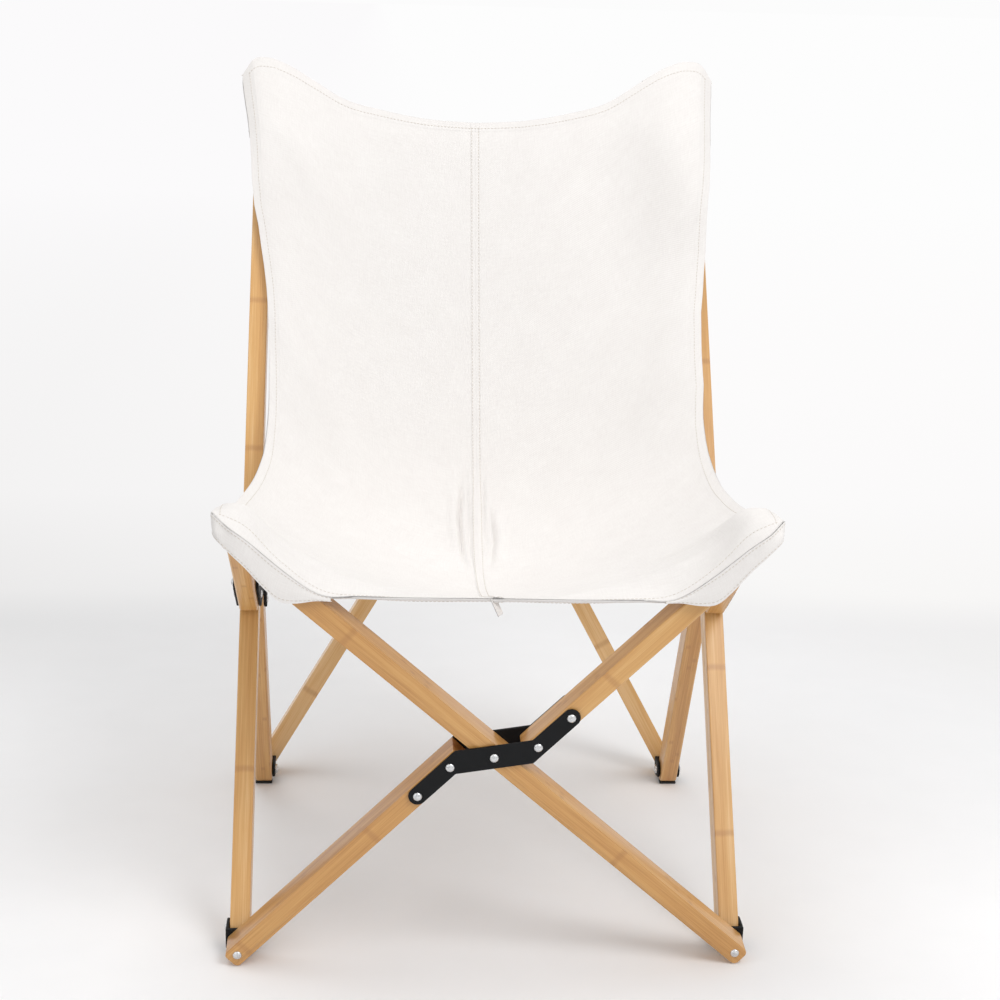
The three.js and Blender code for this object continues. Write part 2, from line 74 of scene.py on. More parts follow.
# The camera of the photograph
CAMERA_PLACE = (-0.1185, -2.1853, 0.9432)
LENS, SENSOR_WIDTH = 73.8, 36
yaw, pitch, roll = -0.06333, 0.23923, 0.02439
camera_data = bpy.data.cameras.new("camera")
camera_data.lens = LENS
camera_data.sensor_width = SENSOR_WIDTH
camera = new_object("camera", camera_data)
camera.matrix_world = Matrix.Translation(CAMERA_PLACE)
for angle, axis in ((yaw, "Z"), (math.pi / 2 - pitch, "X"), (roll, "Z")):
    camera.matrix_world = camera.matrix_world @ Matrix.Rotation(angle, 4, axis)
bpy.context.scene.camera = camera
bpy.context.scene.view_settings.view_transform = "Standard"


# Materials
def paint(hex_colour):
    """An sRGB hex colour as the linear colour that a shader takes."""
    shares = [int(hex_colour[i : i + 2], 16) / 255 for i in (1, 3, 5)]
    return (*[s / 12.92 if s <= 0.04045 else ((s + 0.055) / 1.055) ** 2.4 for s in shares], 1)


class Nodes:
    """A node tree that one function fills."""

    def __init__(self, tree):
        self.tree = tree

    def add(self, kind, sockets=None, **settings):
        """Adds a node with its settings. A socket's value is a number, a colour, an output of another node,
        or a node, which stands for its first output."""
        made = self.tree.nodes.new(kind)
        for name, value in settings.items():
            setattr(made, name, value)
        for name, value in (sockets or {}).items():
            if isinstance(value, bpy.types.Node):
                value = value.outputs[0]
            if isinstance(value, bpy.types.NodeSocket):
                self.tree.links.new(value, made.inputs[name])
            else:
                made.inputs[name].default_value = value
        return made


class Finish(Nodes):
    """A material with its shader; a shader socket's name is written with underscores."""

    def __init__(self, name, **sockets):
        self.material = bpy.data.materials.new(name)
        self.material.use_nodes = True
        super().__init__(self.material.node_tree)
        self.shader = self.tree.nodes["Principled BSDF"]
        for socket, value in sockets.items():
            self.shader.inputs[socket.replace("_", " ")].default_value = value

    def feed(self, socket, node, output=0):
        self.tree.links.new(node.outputs[output], self.shader.inputs[socket])


def colour_stops(ramp, stops):
    """Fills a colour ramp with (place, hex colour) stops."""
    band = ramp.color_ramp
    while len(band.elements) < len(stops):
        band.elements.new(0.5)
    for element, (place, hex_colour) in zip(band.elements, stops):
        element.position = place
        element.color = paint(hex_colour)
    return ramp


def laminated_bamboo():
    """Pressed and planed bamboo strips under a satin lacquer: straight pale strips, each its own tone,
    with fine dark fibres along them and a faint brown knuckle every 18 cm."""
    look = Finish("laminated_bamboo_satin", Roughness=0.4, Coat_Weight=0.4, Coat_Roughness=0.2, IOR=1.5)
    place = look.add("ShaderNodeAttribute", attribute_name="grain").outputs["Vector"]
    along, _, depth = look.add("ShaderNodeSeparateXYZ", {0: place}).outputs
    # Strips are 5 mm thick through the depth of a bar
    strip = look.add("ShaderNodeMath", {0: depth, 1: 200.0}, operation="MULTIPLY")
    number = look.add("ShaderNodeMath", {0: strip}, operation="FLOOR")
    chance = look.add("ShaderNodeTexWhiteNoise", {"W": number}, noise_dimensions="1D")
    within = look.add("ShaderNodeMath", {0: strip}, operation="FRACT")
    off_middle = look.add("ShaderNodeMath", {0: within, 1: 0.5}, operation="SUBTRACT")
    from_middle = look.add("ShaderNodeMath", {0: off_middle}, operation="ABSOLUTE")
    glue_line = look.add("ShaderNodeMapRange", {0: from_middle, 1: 0.44, 2: 0.5, 3: 0.0, 4: 1.0})
    # Fibres are up to 1.1 mm wide and 70 mm long, streaks 8 mm wide and 200 mm long
    thin = look.add("ShaderNodeVectorMath", {0: place, 1: (14.0, 900.0, 900.0)}, operation="MULTIPLY")
    fibre = look.add("ShaderNodeTexNoise", {"Vector": thin, "Scale": 1.0, "Detail": 5.0, "Roughness": 0.6})
    broad = look.add("ShaderNodeVectorMath", {0: place, 1: (5.0, 130.0, 130.0)}, operation="MULTIPLY")
    streak = look.add("ShaderNodeTexNoise", {"Vector": broad, "Scale": 1.0, "Detail": 3.0})
    # Knuckles: 5.6 in a metre, at a place of its own in each strip
    shifted = look.add("ShaderNodeMath", {0: along, 1: 5.6, 2: chance}, operation="MULTIPLY_ADD")
    in_turn = look.add("ShaderNodeMath", {0: shifted}, operation="FRACT")
    ripple = look.add("ShaderNodeMath", {0: streak, 1: 0.012, 2: in_turn}, operation="MULTIPLY_ADD")
    off_knuckle = look.add("ShaderNodeMath", {0: ripple, 1: 0.5}, operation="SUBTRACT")
    from_knuckle = look.add("ShaderNodeMath", {0: off_knuckle}, operation="ABSOLUTE")
    reach = {0: from_knuckle, 1: 0.03, 2: 0.004, 3: 0.0, 4: 1.0}
    knuckle = look.add("ShaderNodeMapRange", reach, interpolation_type="SMOOTHSTEP")
    fibre_tone = look.add("ShaderNodeMath", {0: fibre, 1: 0.45}, operation="MULTIPLY")
    grain_tone = look.add("ShaderNodeMath", {0: streak, 1: 0.4, 2: fibre_tone}, operation="MULTIPLY_ADD")
    strip_tone = look.add("ShaderNodeMath", {0: chance, 1: 0.16, 2: grain_tone}, operation="MULTIPLY_ADD")
    # Each bar's shift of tone: partly its own, partly painted highlight and painted shade
    tone_and_painted_light = look.add("ShaderNodeAttribute", attribute_name="pale").outputs["Fac"]
    tone = look.add("ShaderNodeMath", {0: strip_tone, 1: tone_and_painted_light}, operation="ADD")
    wood_stops = [(0.3, "#B57F44"), (0.46, "#CA9656"), (0.58, "#D5A565"), (0.72, "#E3BC87")]
    wood = colour_stops(look.add("ShaderNodeValToRGB", {0: tone}), wood_stops)
    share = look.add("ShaderNodeMath", {0: knuckle, 1: 0.4}, operation="MULTIPLY")
    knuckled = look.add("ShaderNodeMix", {0: share, 6: wood, 7: paint("#A87341")}, data_type="RGBA")
    share = look.add("ShaderNodeMath", {0: glue_line, 1: 0.3}, operation="MULTIPLY")
    glued = {0: share, 6: knuckled.outputs[2], 7: paint("#9C6C3C")}
    look.feed("Base Color", look.add("ShaderNodeMix", glued, data_type="RGBA"), output=2)
    look.feed("Roughness", look.add("ShaderNodeMapRange", {0: fibre, 1: 0.3, 2: 0.7, 3: 0.48, 4: 0.34}))
    raised = look.add("ShaderNodeMath", {0: glue_line, 1: -0.5, 2: fibre}, operation="MULTIPLY_ADD")
    relief = {"Height": raised, "Strength": 0.25, "Distance": 0.15 * MM}
    look.feed("Normal", look.add("ShaderNodeBump", relief))
    return look.material


def cotton_canvas():
    """Heavy plain-woven cotton duck, washed and off-white: soft and matt, with slubs and a faint mottle.
    The thread spacing is drawn at 1.2 mm, about twice the real one, so that it shows."""
    sockets = {"Base_Color": paint("#E8E5E2"), "Roughness": 0.92, "IOR": 1.45}
    look = Finish("cotton_canvas_off_white", Sheen_Weight=0.12, Sheen_Roughness=0.5, **sockets)
    place = look.add("ShaderNodeUVMap", uv_map="weave")
    across, along, _ = look.add("ShaderNodeSeparateXYZ", {0: place}).outputs
    half_turn = math.pi / (1.2 * MM)
    waves = []
    for way in (across, along):
        turn = look.add("ShaderNodeMath", {0: way, 1: half_turn}, operation="MULTIPLY")
        waves.append(look.add("ShaderNodeMath", {0: turn}, operation="SINE"))
    weave = look.add("ShaderNodeMath", dict(enumerate(waves)), operation="MULTIPLY")
    # Slubs are thick places some 14 mm long in single threads
    slubs = []
    for factors in ((800.0, 70.0, 1.0), (70.0, 800.0, 1.0)):
        threads = look.add("ShaderNodeVectorMath", {0: place, 1: factors}, operation="MULTIPLY")
        slubs.append(look.add("ShaderNodeTexNoise", {"Vector": threads, "Scale": 1.0, "Detail": 2.0}))
    slub = look.add("ShaderNodeMath", dict(enumerate(slubs)), operation="ADD")
    # Washing leaves soft waves a few centimetres across
    soft = look.add("ShaderNodeTexNoise", {"Vector": place, "Scale": 28.0, "Detail": 3.0})
    mottle = look.add("ShaderNodeMath", {0: soft, 1: 0.6, 2: slub}, operation="MULTIPLY_ADD")
    share = look.add("ShaderNodeMapRange", {0: mottle, 1: 0.9, 2: 1.7, 3: 0.0, 4: 1.0})
    tint = colour_stops(look.add("ShaderNodeValToRGB", {0: share}), [(0.0, "#E4E0DD"), (1.0, "#ECE9E6")])
    look.feed("Base Color", tint)
    raised = look.add("ShaderNodeMath", {0: slub, 1: 0.8, 2: weave}, operation="MULTIPLY_ADD")
    woven = look.add("ShaderNodeBump", {"Height": raised, "Strength": 0.35, "Distance": 0.12 * MM})
    washed = {"Height": soft, "Strength": 0.3, "Distance": 1.2 * MM, "Normal": woven}
    look.feed("Normal", look.add("ShaderNodeBump", washed))
    return look.material


def speckled(name, specks, stops, gloss=None, relief=None, **sockets):
    """A finish whose colour, and roughness if given, follow a noise of (scale, detail), and whose relief
    is (scale, detail, strength, distance)."""
    look = Finish(name, **sockets)
    place = look.add("ShaderNodeTexCoord").outputs["Object"]
    shade = look.add("ShaderNodeTexNoise", {"Vector": place, "Scale": specks[0], "Detail": specks[1]})
    look.feed("Base Color", colour_stops(look.add("ShaderNodeValToRGB", {0: shade}), stops))
    if gloss:
        spans = {0: shade, 1: 0.3, 2: 0.7, 3: gloss[0], 4: gloss[1]}
        look.feed("Roughness", look.add("ShaderNodeMapRange", spans))
    if relief:
        scale, detail, strength, distance = relief
        grain = look.add("ShaderNodeTexNoise", {"Vector": place, "Scale": scale, "Detail": detail})
        sizes = {"Height": grain, "Strength": strength, "Distance": distance}
        look.feed("Normal", look.add("ShaderNodeBump", sizes))
    return look.material


bamboo = laminated_bamboo()
canvas = cotton_canvas()
# Stamped steel under matt black powder coat: an orange peel about 0.8 mm from crest to crest that breaks up
# the highlights, and wear about 11 mm across
steel_stops = [(0.35, "#0D0E10"), (0.65, "#141517")]
steel_peel = (1250.0, 2.0, 0.3, 0.06 * MM)
steel_sockets = {"Base_Color": paint("#101113"), "Roughness": 0.6, "IOR": 1.5, "Specular_IOR_Level": 0.2}
black_steel = speckled(
    "black_powder_coated_steel", (90.0, 4.0), steel_stops, (0.52, 0.68), steel_peel, **steel_sockets
)
# Pressed steel with bright zinc plating: mirror-like, and cloudy over about 1.5 mm
zinc_stops = [(0.3, "#C2C3C5"), (0.7, "#E0E1E2")]
zinc_sockets = {"Base_Color": paint("#D2D3D4"), "Metallic": 1.0, "Roughness": 0.25}
zinc = speckled("bright_zinc_plate", (650.0, 3.0), zinc_stops, (0.18, 0.34), **zinc_sockets)
# Moulded black rubber: dull, with a little dust and a grain of about 0.7 mm
rubber_stops = [(0.35, "#171717"), (0.7, "#262625")]
rubber_grain = (1400.0, 3.0, 0.4, 0.1 * MM)
rubber_sockets = {"Base_Color": paint("#1C1C1C"), "Roughness": 0.8, "IOR": 1.5}
rubber = speckled("moulded_rubber", rubber_grain[:2], rubber_stops, None, rubber_grain, **rubber_sockets)
# Twisted polyester thread, a little glossier than the canvas: its twist shows about every 0.7 mm. It is
# greyer than the canvas, partly its own tone and partly painted shade, so that the stitching draws the seams'
# soft shadow lines
thread_and_seam_shade_stops = [(0.3, "#CBC3B8"), (0.7, "#DDD6CD")]
thread_sockets = {"Base_Color": paint("#C8C0B4"), "Roughness": 0.6, "Sheen_Weight": 0.2}
thread = speckled("sewing_thread", (1400.0, 1.0), thread_and_seam_shade_stops, **thread_sockets)

# Bodies and the chair's driving places, in metres
bodies = frame["record"]["behaviour"]["bodies"]
body_of_node = {node: body for body, nodes in bodies.items() for node in nodes}
MIDDLE_DEPTH = 246.6 * MM
HALF_WIDTH = 250 * MM
CROSSING_DISTANCE = 380 * MM
BAR_WIDTH = 20 * MM
BAR_DEPTH = 30 * MM
PLATE = 3 * MM
TOUCH = 0.3 * MM  # between two pieces that touch
TURN = 0.6 * MM  # between a bar and the bracket it turns in
CROSS_OFFSET = 37 * MM  # from the side bars' bolts to the middle of a cross
RIVET_REACH = 39 * MM  # crossing to the nearer rivet, along the bar
RIVET_PITCH = 44 * MM
SUNK = 0.05 * MM  # how deep rivets and bosses stand in what they rest on


def side_place(depth, height):
    """A place in the side plane as (depth, height), from millimetres behind the front foot bolt."""
    return Vector((depth * MM - MIDDLE_DEPTH, height * MM))


FRONT_FOOT = side_place(0, 18)
REAR_FOOT = side_place(445, 18)
BACK_TOP = side_place(540, 838)
SEAT_FRONT = side_place(-45, 457)
long_direction = BACK_TOP - FRONT_FOOT
CROSSING = FRONT_FOOT + long_direction.normalized() * CROSSING_DISTANCE


class Plane:
    """A work plane with two directions and a normal."""

    def __init__(self, origin, u, v):
        self.origin, self.u, self.v, self.normal = origin, u, v, u.cross(v)

    def at(self, place, height=0.0):
        return self.origin + self.u * place[0] + self.v * place[1] + self.normal * height


def cross_plane(u, foot, top):
    up = (top - foot).normalized()
    plane = Plane(Vector((0, foot.x, foot.y)), u, Vector((0, up.x, up.y)))
    plane.origin = plane.origin + plane.normal * CROSS_OFFSET
    return plane


front_plane = cross_plane(X_AXIS, FRONT_FOOT, SEAT_FRONT)
rear_plane = cross_plane(-X_AXIS, REAR_FOOT, BACK_TOP)
front_height = (SEAT_FRONT - FRONT_FOOT).length
rear_height = (BACK_TOP - REAR_FOOT).length


def half_bar_rivets(pivot, target, offset):
    """The near and far rivet places on a half bar beside a crossing."""
    direction = (target - pivot).normalized()
    near = pivot + direction * RIVET_REACH + Vector((-direction.y, direction.x)) * offset
    return near, near + (target - near).normalized() * RIVET_PITCH


# Frame pieces
WELD_DISTANCE = 0.002 * MM
FLAT_ANGLE = 0.01
HARD_ANGLE = math.radians(32)
SHARP_ANGLE = math.radians(40)
HOLE_RIM = 5 * MM  # edges this close to the middle of a hole stay sharp


def evaluated_copy(thing, name):
    """The object with its modifiers worked in, as a plain mesh object; the first one goes."""
    bpy.context.view_layer.update()
    depsgraph = bpy.context.evaluated_depsgraph_get()
    mesh = bpy.data.meshes.new_from_object(thing.evaluated_get(depsgraph))
    mesh.name = name
    made = new_object(name, mesh)
    bpy.data.objects.remove(thing)
    return made


def softened(name, source, finish, round_over, least_edge, keep_face=None, stays_sharp=None):
    """A copy of a CAD node with its hard edges rounded over, as planing and stamping leave them."""
    mesh = frame["nodes"][source].data.copy()
    mesh.name = name
    work = bmesh.new()
    work.from_mesh(mesh)
    bmesh.ops.remove_doubles(work, verts=work.verts, dist=WELD_DISTANCE)
    if keep_face:
        spare = [f for f in work.faces if not keep_face(f)]
        bmesh.ops.delete(work, geom=spare, context="FACES")
        rims = [e for e in work.edges if e.is_boundary]
        bmesh.ops.holes_fill(work, edges=rims, sides=0)
        bmesh.ops.recalc_face_normals(work, faces=work.faces)
    bmesh.ops.dissolve_limit(work, angle_limit=FLAT_ANGLE, verts=work.verts, edges=work.edges)
    work.normal_update()
    weights = work.edges.layers.float.new("bevel_weight_edge")
    for edge in work.edges:
        hard = len(edge.link_faces) == 2 and edge.calc_face_angle(0) > HARD_ANGLE
        if hard and edge.calc_length() > least_edge and not (stays_sharp and stays_sharp(edge)):
            edge[weights] = 1
    work.to_mesh(mesh)
    work.free()
    mesh.shade_smooth()
    mesh.set_sharp_from_angle(angle=SHARP_ANGLE)
    thing = new_object(name, mesh, finish)
    bevel = thing.modifiers.new("round_over", "BEVEL")
    bevel.limit_method = "WEIGHT"
    bevel.width = round_over
    bevel.segments = 3
    bevel.harden_normals = True
    return evaluated_copy(thing, name)


def carried(piece, body):
    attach(piece, body)
    return piece


def settle(piece, source):
    """Puts a piece on its node's body, in place of the node."""
    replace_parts(carried(piece, body_of_node[source]), source)


# Each bar is a little paler or darker: partly a tone of its own batch, partly painted light. The right long
# bar and the rear cross bars are painted paler as a painted highlight of the lamps' sheen, and the right rear
# leg darker as painted shade
BAR_TONE_AND_PAINTED_LIGHT = {
    "right_long_bar": 0.1,
    "rear_cross_through_bar": 0.11,
    "rear_cross_lower_half_bar": 0.13,
    "front_cross_lower_half_bar": -0.11,
    "left_long_bar": -0.02,
    "right_rear_leg": -0.04,
}
# Where a bar's grain starts in the pattern: metres along it and through its depth for each step
GRAIN_STEPS = (1.37, 0.5)
STRIP_SHIFT = 2.5 * MM  # half a strip


def bamboo_bar(source, depth_axis, start):
    """A bar with its planed edges rounded, and the directions of its grain kept on its vertices."""
    bar = softened(source + "_bamboo", source, bamboo, 2.2 * MM, 2 * MM)
    places = np.array([v.co for v in bar.data.vertices])
    middle = (places.min(0) + places.max(0)) / 2
    along = np.linalg.svd(places - places.mean(0), full_matrices=False)[2][0]
    thick = np.array(depth_axis)
    along = along - thick * (along @ thick)
    along /= np.linalg.norm(along)
    offset = np.array([start * GRAIN_STEPS[0], 0.0, start * GRAIN_STEPS[1] + STRIP_SHIFT])
    ways = (along, np.cross(thick, along), thick)
    grain = np.stack([(places - middle) @ way for way in ways], 1) + offset
    kept = bar.data.attributes.new("grain", "FLOAT_VECTOR", "POINT")
    kept.data.foreach_set("vector", grain.astype(np.float32).ravel())
    # The bar's shift of tone: partly its own, partly painted highlight or painted shade
    pale = bar.data.attributes.new("pale", "FLOAT", "POINT")
    pale.data.foreach_set("value", np.full(len(places), BAR_TONE_AND_PAINTED_LIGHT.get(source, 0.0), np.float32))
    settle(bar, source)


for number, part_name in enumerate(("through_bar", "lower_half_bar", "upper_half_bar")):
    bamboo_bar("front_cross_" + part_name, front_plane.normal, 0.3 + number)
    bamboo_bar("rear_cross_" + part_name, rear_plane.normal, 4.1 + number)
long_bar_thickness = Vector((0, -long_direction.y, long_direction.x)).normalized()
for number, (part_name, thickness, foot) in enumerate(
    (
        ("long_bar", long_bar_thickness, "_front_foot_pad"),
        ("rear_leg", X_AXIS, "_rear_foot_pad"),
        ("seat_rail", X_AXIS, None),
    )
):
    for side_name in ("left", "right"):
        start = 7.7 + number * 1.9 + (0.6 if side_name == "left" else 0)
        bamboo_bar(side_name + "_" + part_name, thickness, start)
        if foot:
            pad = side_name + foot
            settle(softened(pad + "_rubber", pad, rubber, 0.8 * MM, 1 * MM), pad)


def hole_rim(centre, normal):
    """A test for the edges round the hole at a place, which stay sharp."""

    def at_hole(edge):
        away = (edge.verts[0].co + edge.verts[1].co) / 2 - centre
        return (away - normal * away.dot(normal)).length < HOLE_RIM

    return at_hole


def steel_plate(source, plane, low, high, pivot):
    """The sheet of steel of a plate alone, since its rivets are pieces of their own."""
    margin = 0.02 * MM

    def in_sheet(face):
        heights = [(v.co - plane.origin).dot(plane.normal) for v in face.verts]
        return min(heights) > low - margin and max(heights) < high + margin

    rim = hole_rim(plane.at(pivot), plane.normal)
    plate = softened(source + "_steel", source, black_steel, 0.8 * MM, 0.1 * MM, in_sheet, rim)
    settle(plate, source)


# Rivets and bolts: (place, way it faces) lists for each body, and the CAD nodes they stand for
heads, tails, bosses, nuts, swallowed = {}, {}, {}, {}, {}
BOSS_RISE = 0.85 * MM  # from a plate to the foot of its pivot rivet's head


def note(store, node, place, way):
    store.setdefault(body_of_node[node], []).append((place, way))


def stands_for(node):
    swallowed.setdefault(body_of_node[node], []).append(node)


def plates_and_rivets(prefix, plates, plane, side, half, pivot, targets, offset, bossed=False):
    """The two plates round a crossing, and the rivets through them and through the crossing itself.
    Gives back how far the plates reach from the middle of the bars, which are twice half thick."""
    near = half + TOUCH
    far = near + PLATE
    outer, inner = (f"{prefix}_{plate}_plate" for plate in plates)
    for plate, way in ((outer, side), (inner, -side)):
        steel_plate(plate, plane, *sorted((way * near, way * far)), pivot)
    rivet = prefix + "_pivot_rivet"
    spots = [(outer, inner, p, -SUNK, -SUNK) for t in targets for p in half_bar_rivets(pivot, t, offset)]
    spots.append((rivet, rivet, pivot, BOSS_RISE if bossed else 0, -SUNK if bossed else 0))
    for head_node, tail_node, place, head_rise, tail_rise in spots:
        note(heads, head_node, plane.at(place, side * (far + head_rise)), plane.normal * side)
        note(tails, tail_node, plane.at(place, -side * (far + tail_rise)), plane.normal * -side)
    if bossed:
        note(bosses, rivet, plane.at(pivot, far - SUNK), plane.normal)
    stands_for(rivet)
    return far


# Each cross with its corner rivets: (name, end, level, whether its tail shows)
front_corners = [
    ("front_left_foot_rivet", -1, 0, True), ("front_right_foot_rivet", 1, 0, True),
    ("seat_left_rivet", -1, 1, False), ("seat_right_rivet", 1, 1, False),
]  # fmt: skip
rear_corners = [
    ("rear_left_foot_rivet", 1, 0, True), ("rear_right_foot_rivet", -1, 0, False),
    ("back_left_top_rivet", 1, 1, False), ("back_right_top_rivet", -1, 1, False),
]  # fmt: skip
for prefix, plane, height, corners in (
    ("front_cross", front_plane, front_height, front_corners),
    ("rear_cross", rear_plane, rear_height, rear_corners),
):
    pivot = Vector((0, height / 2))
    ends = (Vector((-HALF_WIDTH, 0)), Vector((HALF_WIDTH, height)))
    half = BAR_DEPTH / 2
    far = plates_and_rivets(prefix, ("face", "back"), plane, 1, half, pivot, ends, -BAR_WIDTH, bossed=True)
    for rivet, end, level, has_tail in corners:
        place = (end * HALF_WIDTH, level * height)
        note(heads, rivet, plane.at(place, half - SUNK), plane.normal)
        if has_tail:
            note(tails, rivet, plane.at(place, SUNK - far), -plane.normal)
        stands_for(rivet)
corner_places = {
    "front_{}_foot": FRONT_FOOT,
    "rear_{}_foot": REAR_FOOT,
    "seat_{}": SEAT_FRONT,
    "back_{}_top": BACK_TOP,
}
for side_name, side in (("left", -1), ("right", 1)):
    plane = Plane(Vector((side * HALF_WIDTH, 0, 0)), Y_AXIS, Z_AXIS)
    outwards = X_AXIS * side
    cheek = BAR_WIDTH / 2 + TURN + PLATE
    prefix = side_name + "_side"
    ends = (REAR_FOOT, SEAT_FRONT)
    plates_and_rivets(prefix, ("outer", "inner"), plane, side, BAR_WIDTH / 2, CROSSING, ends, BAR_DEPTH)
    for pattern, place in corner_places.items():
        corner = pattern.format(side_name)
        bolt, bracket = corner + "_bolt", corner + "_bracket"
        note(heads, bolt, plane.at(place, side * (cheek - SUNK)), outwards)
        note(nuts, bolt, plane.at(place, -side * (cheek - SUNK)), -outwards)
        stands_for(bolt)
        rim = hole_rim(plane.at(place), X_AXIS)
        steel = softened(bracket + "_steel", bracket, black_steel, 0.9 * MM, 1.5 * MM, None, rim)
        settle(steel, bracket)


def point_tree(name, inputs):
    """A Geometry Nodes tree with one geometry in and one out, and (name, kind, value) inputs beside it."""
    tree = bpy.data.node_groups.new(name, "GeometryNodeTree")
    sockets = [("Geometry", "Geometry", None), *inputs, ("Finish", "Material", None)]
    for label, kind, value in sockets:
        socket = tree.interface.new_socket(name=label, in_out="INPUT", socket_type="NodeSocket" + kind)
        if value is not None:
            socket.default_value = value
    tree.interface.new_socket(name="Geometry", in_out="OUTPUT", socket_type="NodeSocketGeometry")
    nodes = Nodes(tree)
    return nodes, nodes.add("NodeGroupInput").outputs


def spread(nodes, given, points, ball, widths, way):
    """The last part of a point tree: the ball at its widths on each point, facing its way and painted."""
    size = nodes.add("ShaderNodeCombineXYZ", dict(enumerate(widths)))
    shape = nodes.add("GeometryNodeTransform", {"Geometry": ball, "Scale": size})
    turn = nodes.add("FunctionNodeAlignRotationToVector", {"Vector": way}, axis="Z")
    placed = {"Points": points, "Instance": shape, "Rotation": turn}
    real = nodes.add("GeometryNodeRealizeInstances", {0: nodes.add("GeometryNodeInstanceOnPoints", placed)})
    painted = {"Geometry": real, "Material": given["Finish"]}
    nodes.add("NodeGroupOutput", {0: nodes.add("GeometryNodeSetMaterial", painted)})
    return nodes.tree


def dome_tree():
    """Geometry Nodes: a low turned dome with a closed foot on each point, facing the point's own way."""
    inputs = [("Head Radius", "Float", 4.6 * MM), ("Head Height", "Float", 2.4 * MM), ("Steps", "Int", 24)]
    nodes, given = point_tree("dome_heads", inputs)
    ball = nodes.add("GeometryNodeMeshUVSphere", {"Segments": given["Steps"], "Rings": 12, "Radius": 1.0})
    place = nodes.add("GeometryNodeInputPosition")
    height = nodes.add("ShaderNodeSeparateXYZ", {0: place}).outputs["Z"]
    below = nodes.add("FunctionNodeCompare", {0: height, 1: -0.02}, operation="LESS_THAN")
    cap = nodes.add("GeometryNodeDeleteGeometry", {"Geometry": ball, "Selection": below}, domain="FACE")
    circle = {"Vertices": given["Steps"], "Radius": 1.0}
    disc = nodes.add("GeometryNodeMeshCircle", circle, fill_type="NGON")
    both = nodes.add("GeometryNodeJoinGeometry")
    for half in (cap, nodes.add("GeometryNodeFlipFaces", {0: disc})):
        nodes.tree.links.new(half.outputs[0], both.inputs[0])
    closed = nodes.add("GeometryNodeMergeByDistance", {"Geometry": both, "Distance": 0.001})
    way = nodes.add("GeometryNodeInputNamedAttribute", {"Name": "facing"}, data_type="FLOAT_VECTOR")
    widths = (given["Head Radius"], given["Head Radius"], given["Head Height"])
    return spread(nodes, given, given["Geometry"], closed, widths, way)


def stitch_tree():
    """Geometry Nodes: short spindle-shaped stitches along each line of the mesh."""
    inputs = [
        ("Stitch Pitch", "Float", 4 * MM),
        ("Stitch Length", "Float", 3 * MM),
        ("Thread Width", "Float", 0.8 * MM),
    ]
    nodes, given = point_tree("stitches", inputs)
    line = nodes.add("GeometryNodeMeshToCurve", {0: given["Geometry"]})
    spacing = {"Curve": line, "Length": given["Stitch Pitch"]}
    spots = nodes.add("GeometryNodeCurveToPoints", spacing, mode="LENGTH").outputs
    ball = nodes.add("GeometryNodeMeshUVSphere", {"Segments": 6, "Rings": 4, "Radius": 0.5})
    widths = (given["Thread Width"], given["Thread Width"], given["Stitch Length"])
    return spread(nodes, given, spots["Points"], ball, widths, spots["Tangent"])


def worked(name, mesh, tree, **inputs):
    """The mesh with a Geometry Nodes tree worked in, as a smooth plain mesh object."""
    thing = new_object(name + "_points", mesh)
    modifier = thing.modifiers.new("nodes", "NODES")
    modifier.node_group = tree
    for item in tree.interface.items_tree:
        key = item.name.replace(" ", "_")
        if item.in_out == "INPUT" and key in inputs:
            modifier[item.identifier] = inputs[key]
    made = evaluated_copy(thing, name)
    made.data.shade_smooth()
    return made


def turned_shape(work, place, turn, levels, sides):
    """Adds a closed shape through rings of (radius, height) in millimetres about a place."""
    angles = [2 * math.pi * k / sides for k in range(sides)]
    rings = []
    for radius, height in levels:
        spots = [Vector((radius * math.cos(a), radius * math.sin(a), height)) * MM for a in angles]
        rings.append([work.verts.new(place + turn @ spot) for spot in spots])
    work.faces.new(rings[0][::-1])
    for low, high in zip(rings, rings[1:]):
        for k in range(sides):
            after = (k + 1) % sides
            work.faces.new((low[k], low[after], high[after], high[k]))
    work.faces.new(rings[-1])


NUT_LEVELS = [(4.9, 0.0), (5.5, 0.45), (5.5, 2.75), (4.9, 3.2), (3.2, 3.2)]
TIP_LEVELS = [(3.0, 3.1), (3.0, 3.8), (2.4, 4.0)]


def nut_mesh(name, stands):
    """Hex nuts with chamfered corners, the domed tip of the bolt in each."""
    work = bmesh.new()
    for place, way in stands:
        turn = way.to_track_quat("Z", "Y").to_matrix()
        turned_shape(work, place, turn, NUT_LEVELS, 6)
        turned_shape(work, place, turn, TIP_LEVELS, 12)
    mesh = bpy.data.meshes.new(name)
    work.to_mesh(mesh)
    work.free()
    return mesh


DOME_FOOT_ANGLE = math.radians(50)  # a dome meets its foot at more than this


def dome_piece(name, stands, radius, height, finish):
    mesh = new_mesh(name, [place for place, _ in stands], [], [])
    facing = mesh.attributes.new("facing", "FLOAT_VECTOR", "POINT")
    facing.data.foreach_set("vector", [c for _, way in stands for c in way])
    sizes = {"Head_Radius": radius * MM, "Head_Height": height * MM}
    piece = worked(name, mesh, dome_heads, Finish=finish, **sizes)
    piece.data.set_sharp_from_angle(angle=DOME_FOOT_ANGLE)
    return piece


# Kinds of domes: the list they stand in, the name, radius and height in millimetres, finish and slot
DOMES = (
    (heads, "_rivet_heads", 4.6, 2.5, zinc, "zinc"),
    (tails, "_rivet_tails", 4.0, 1.6, zinc, "zinc"),
    (bosses, "_pivot_bosses", 8.0, 1.1, black_steel, "black_steel"),
)
dome_heads, stitches = dome_tree(), stitch_tree()
for body in sorted(set(heads) | set(tails) | set(nuts)):
    made = []
    for store, label, radius, height, finish, slot_name in DOMES:
        if body in store:
            piece = dome_piece(body + label, store[body], radius, height, finish)
            made.append(carried(piece, body))
    if body in nuts:
        name = body + "_nuts"
        made.append(carried(new_object(name, nut_mesh(name, nuts[body]), zinc), body))
    if body in swallowed:
        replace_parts(made[0], *swallowed[body])


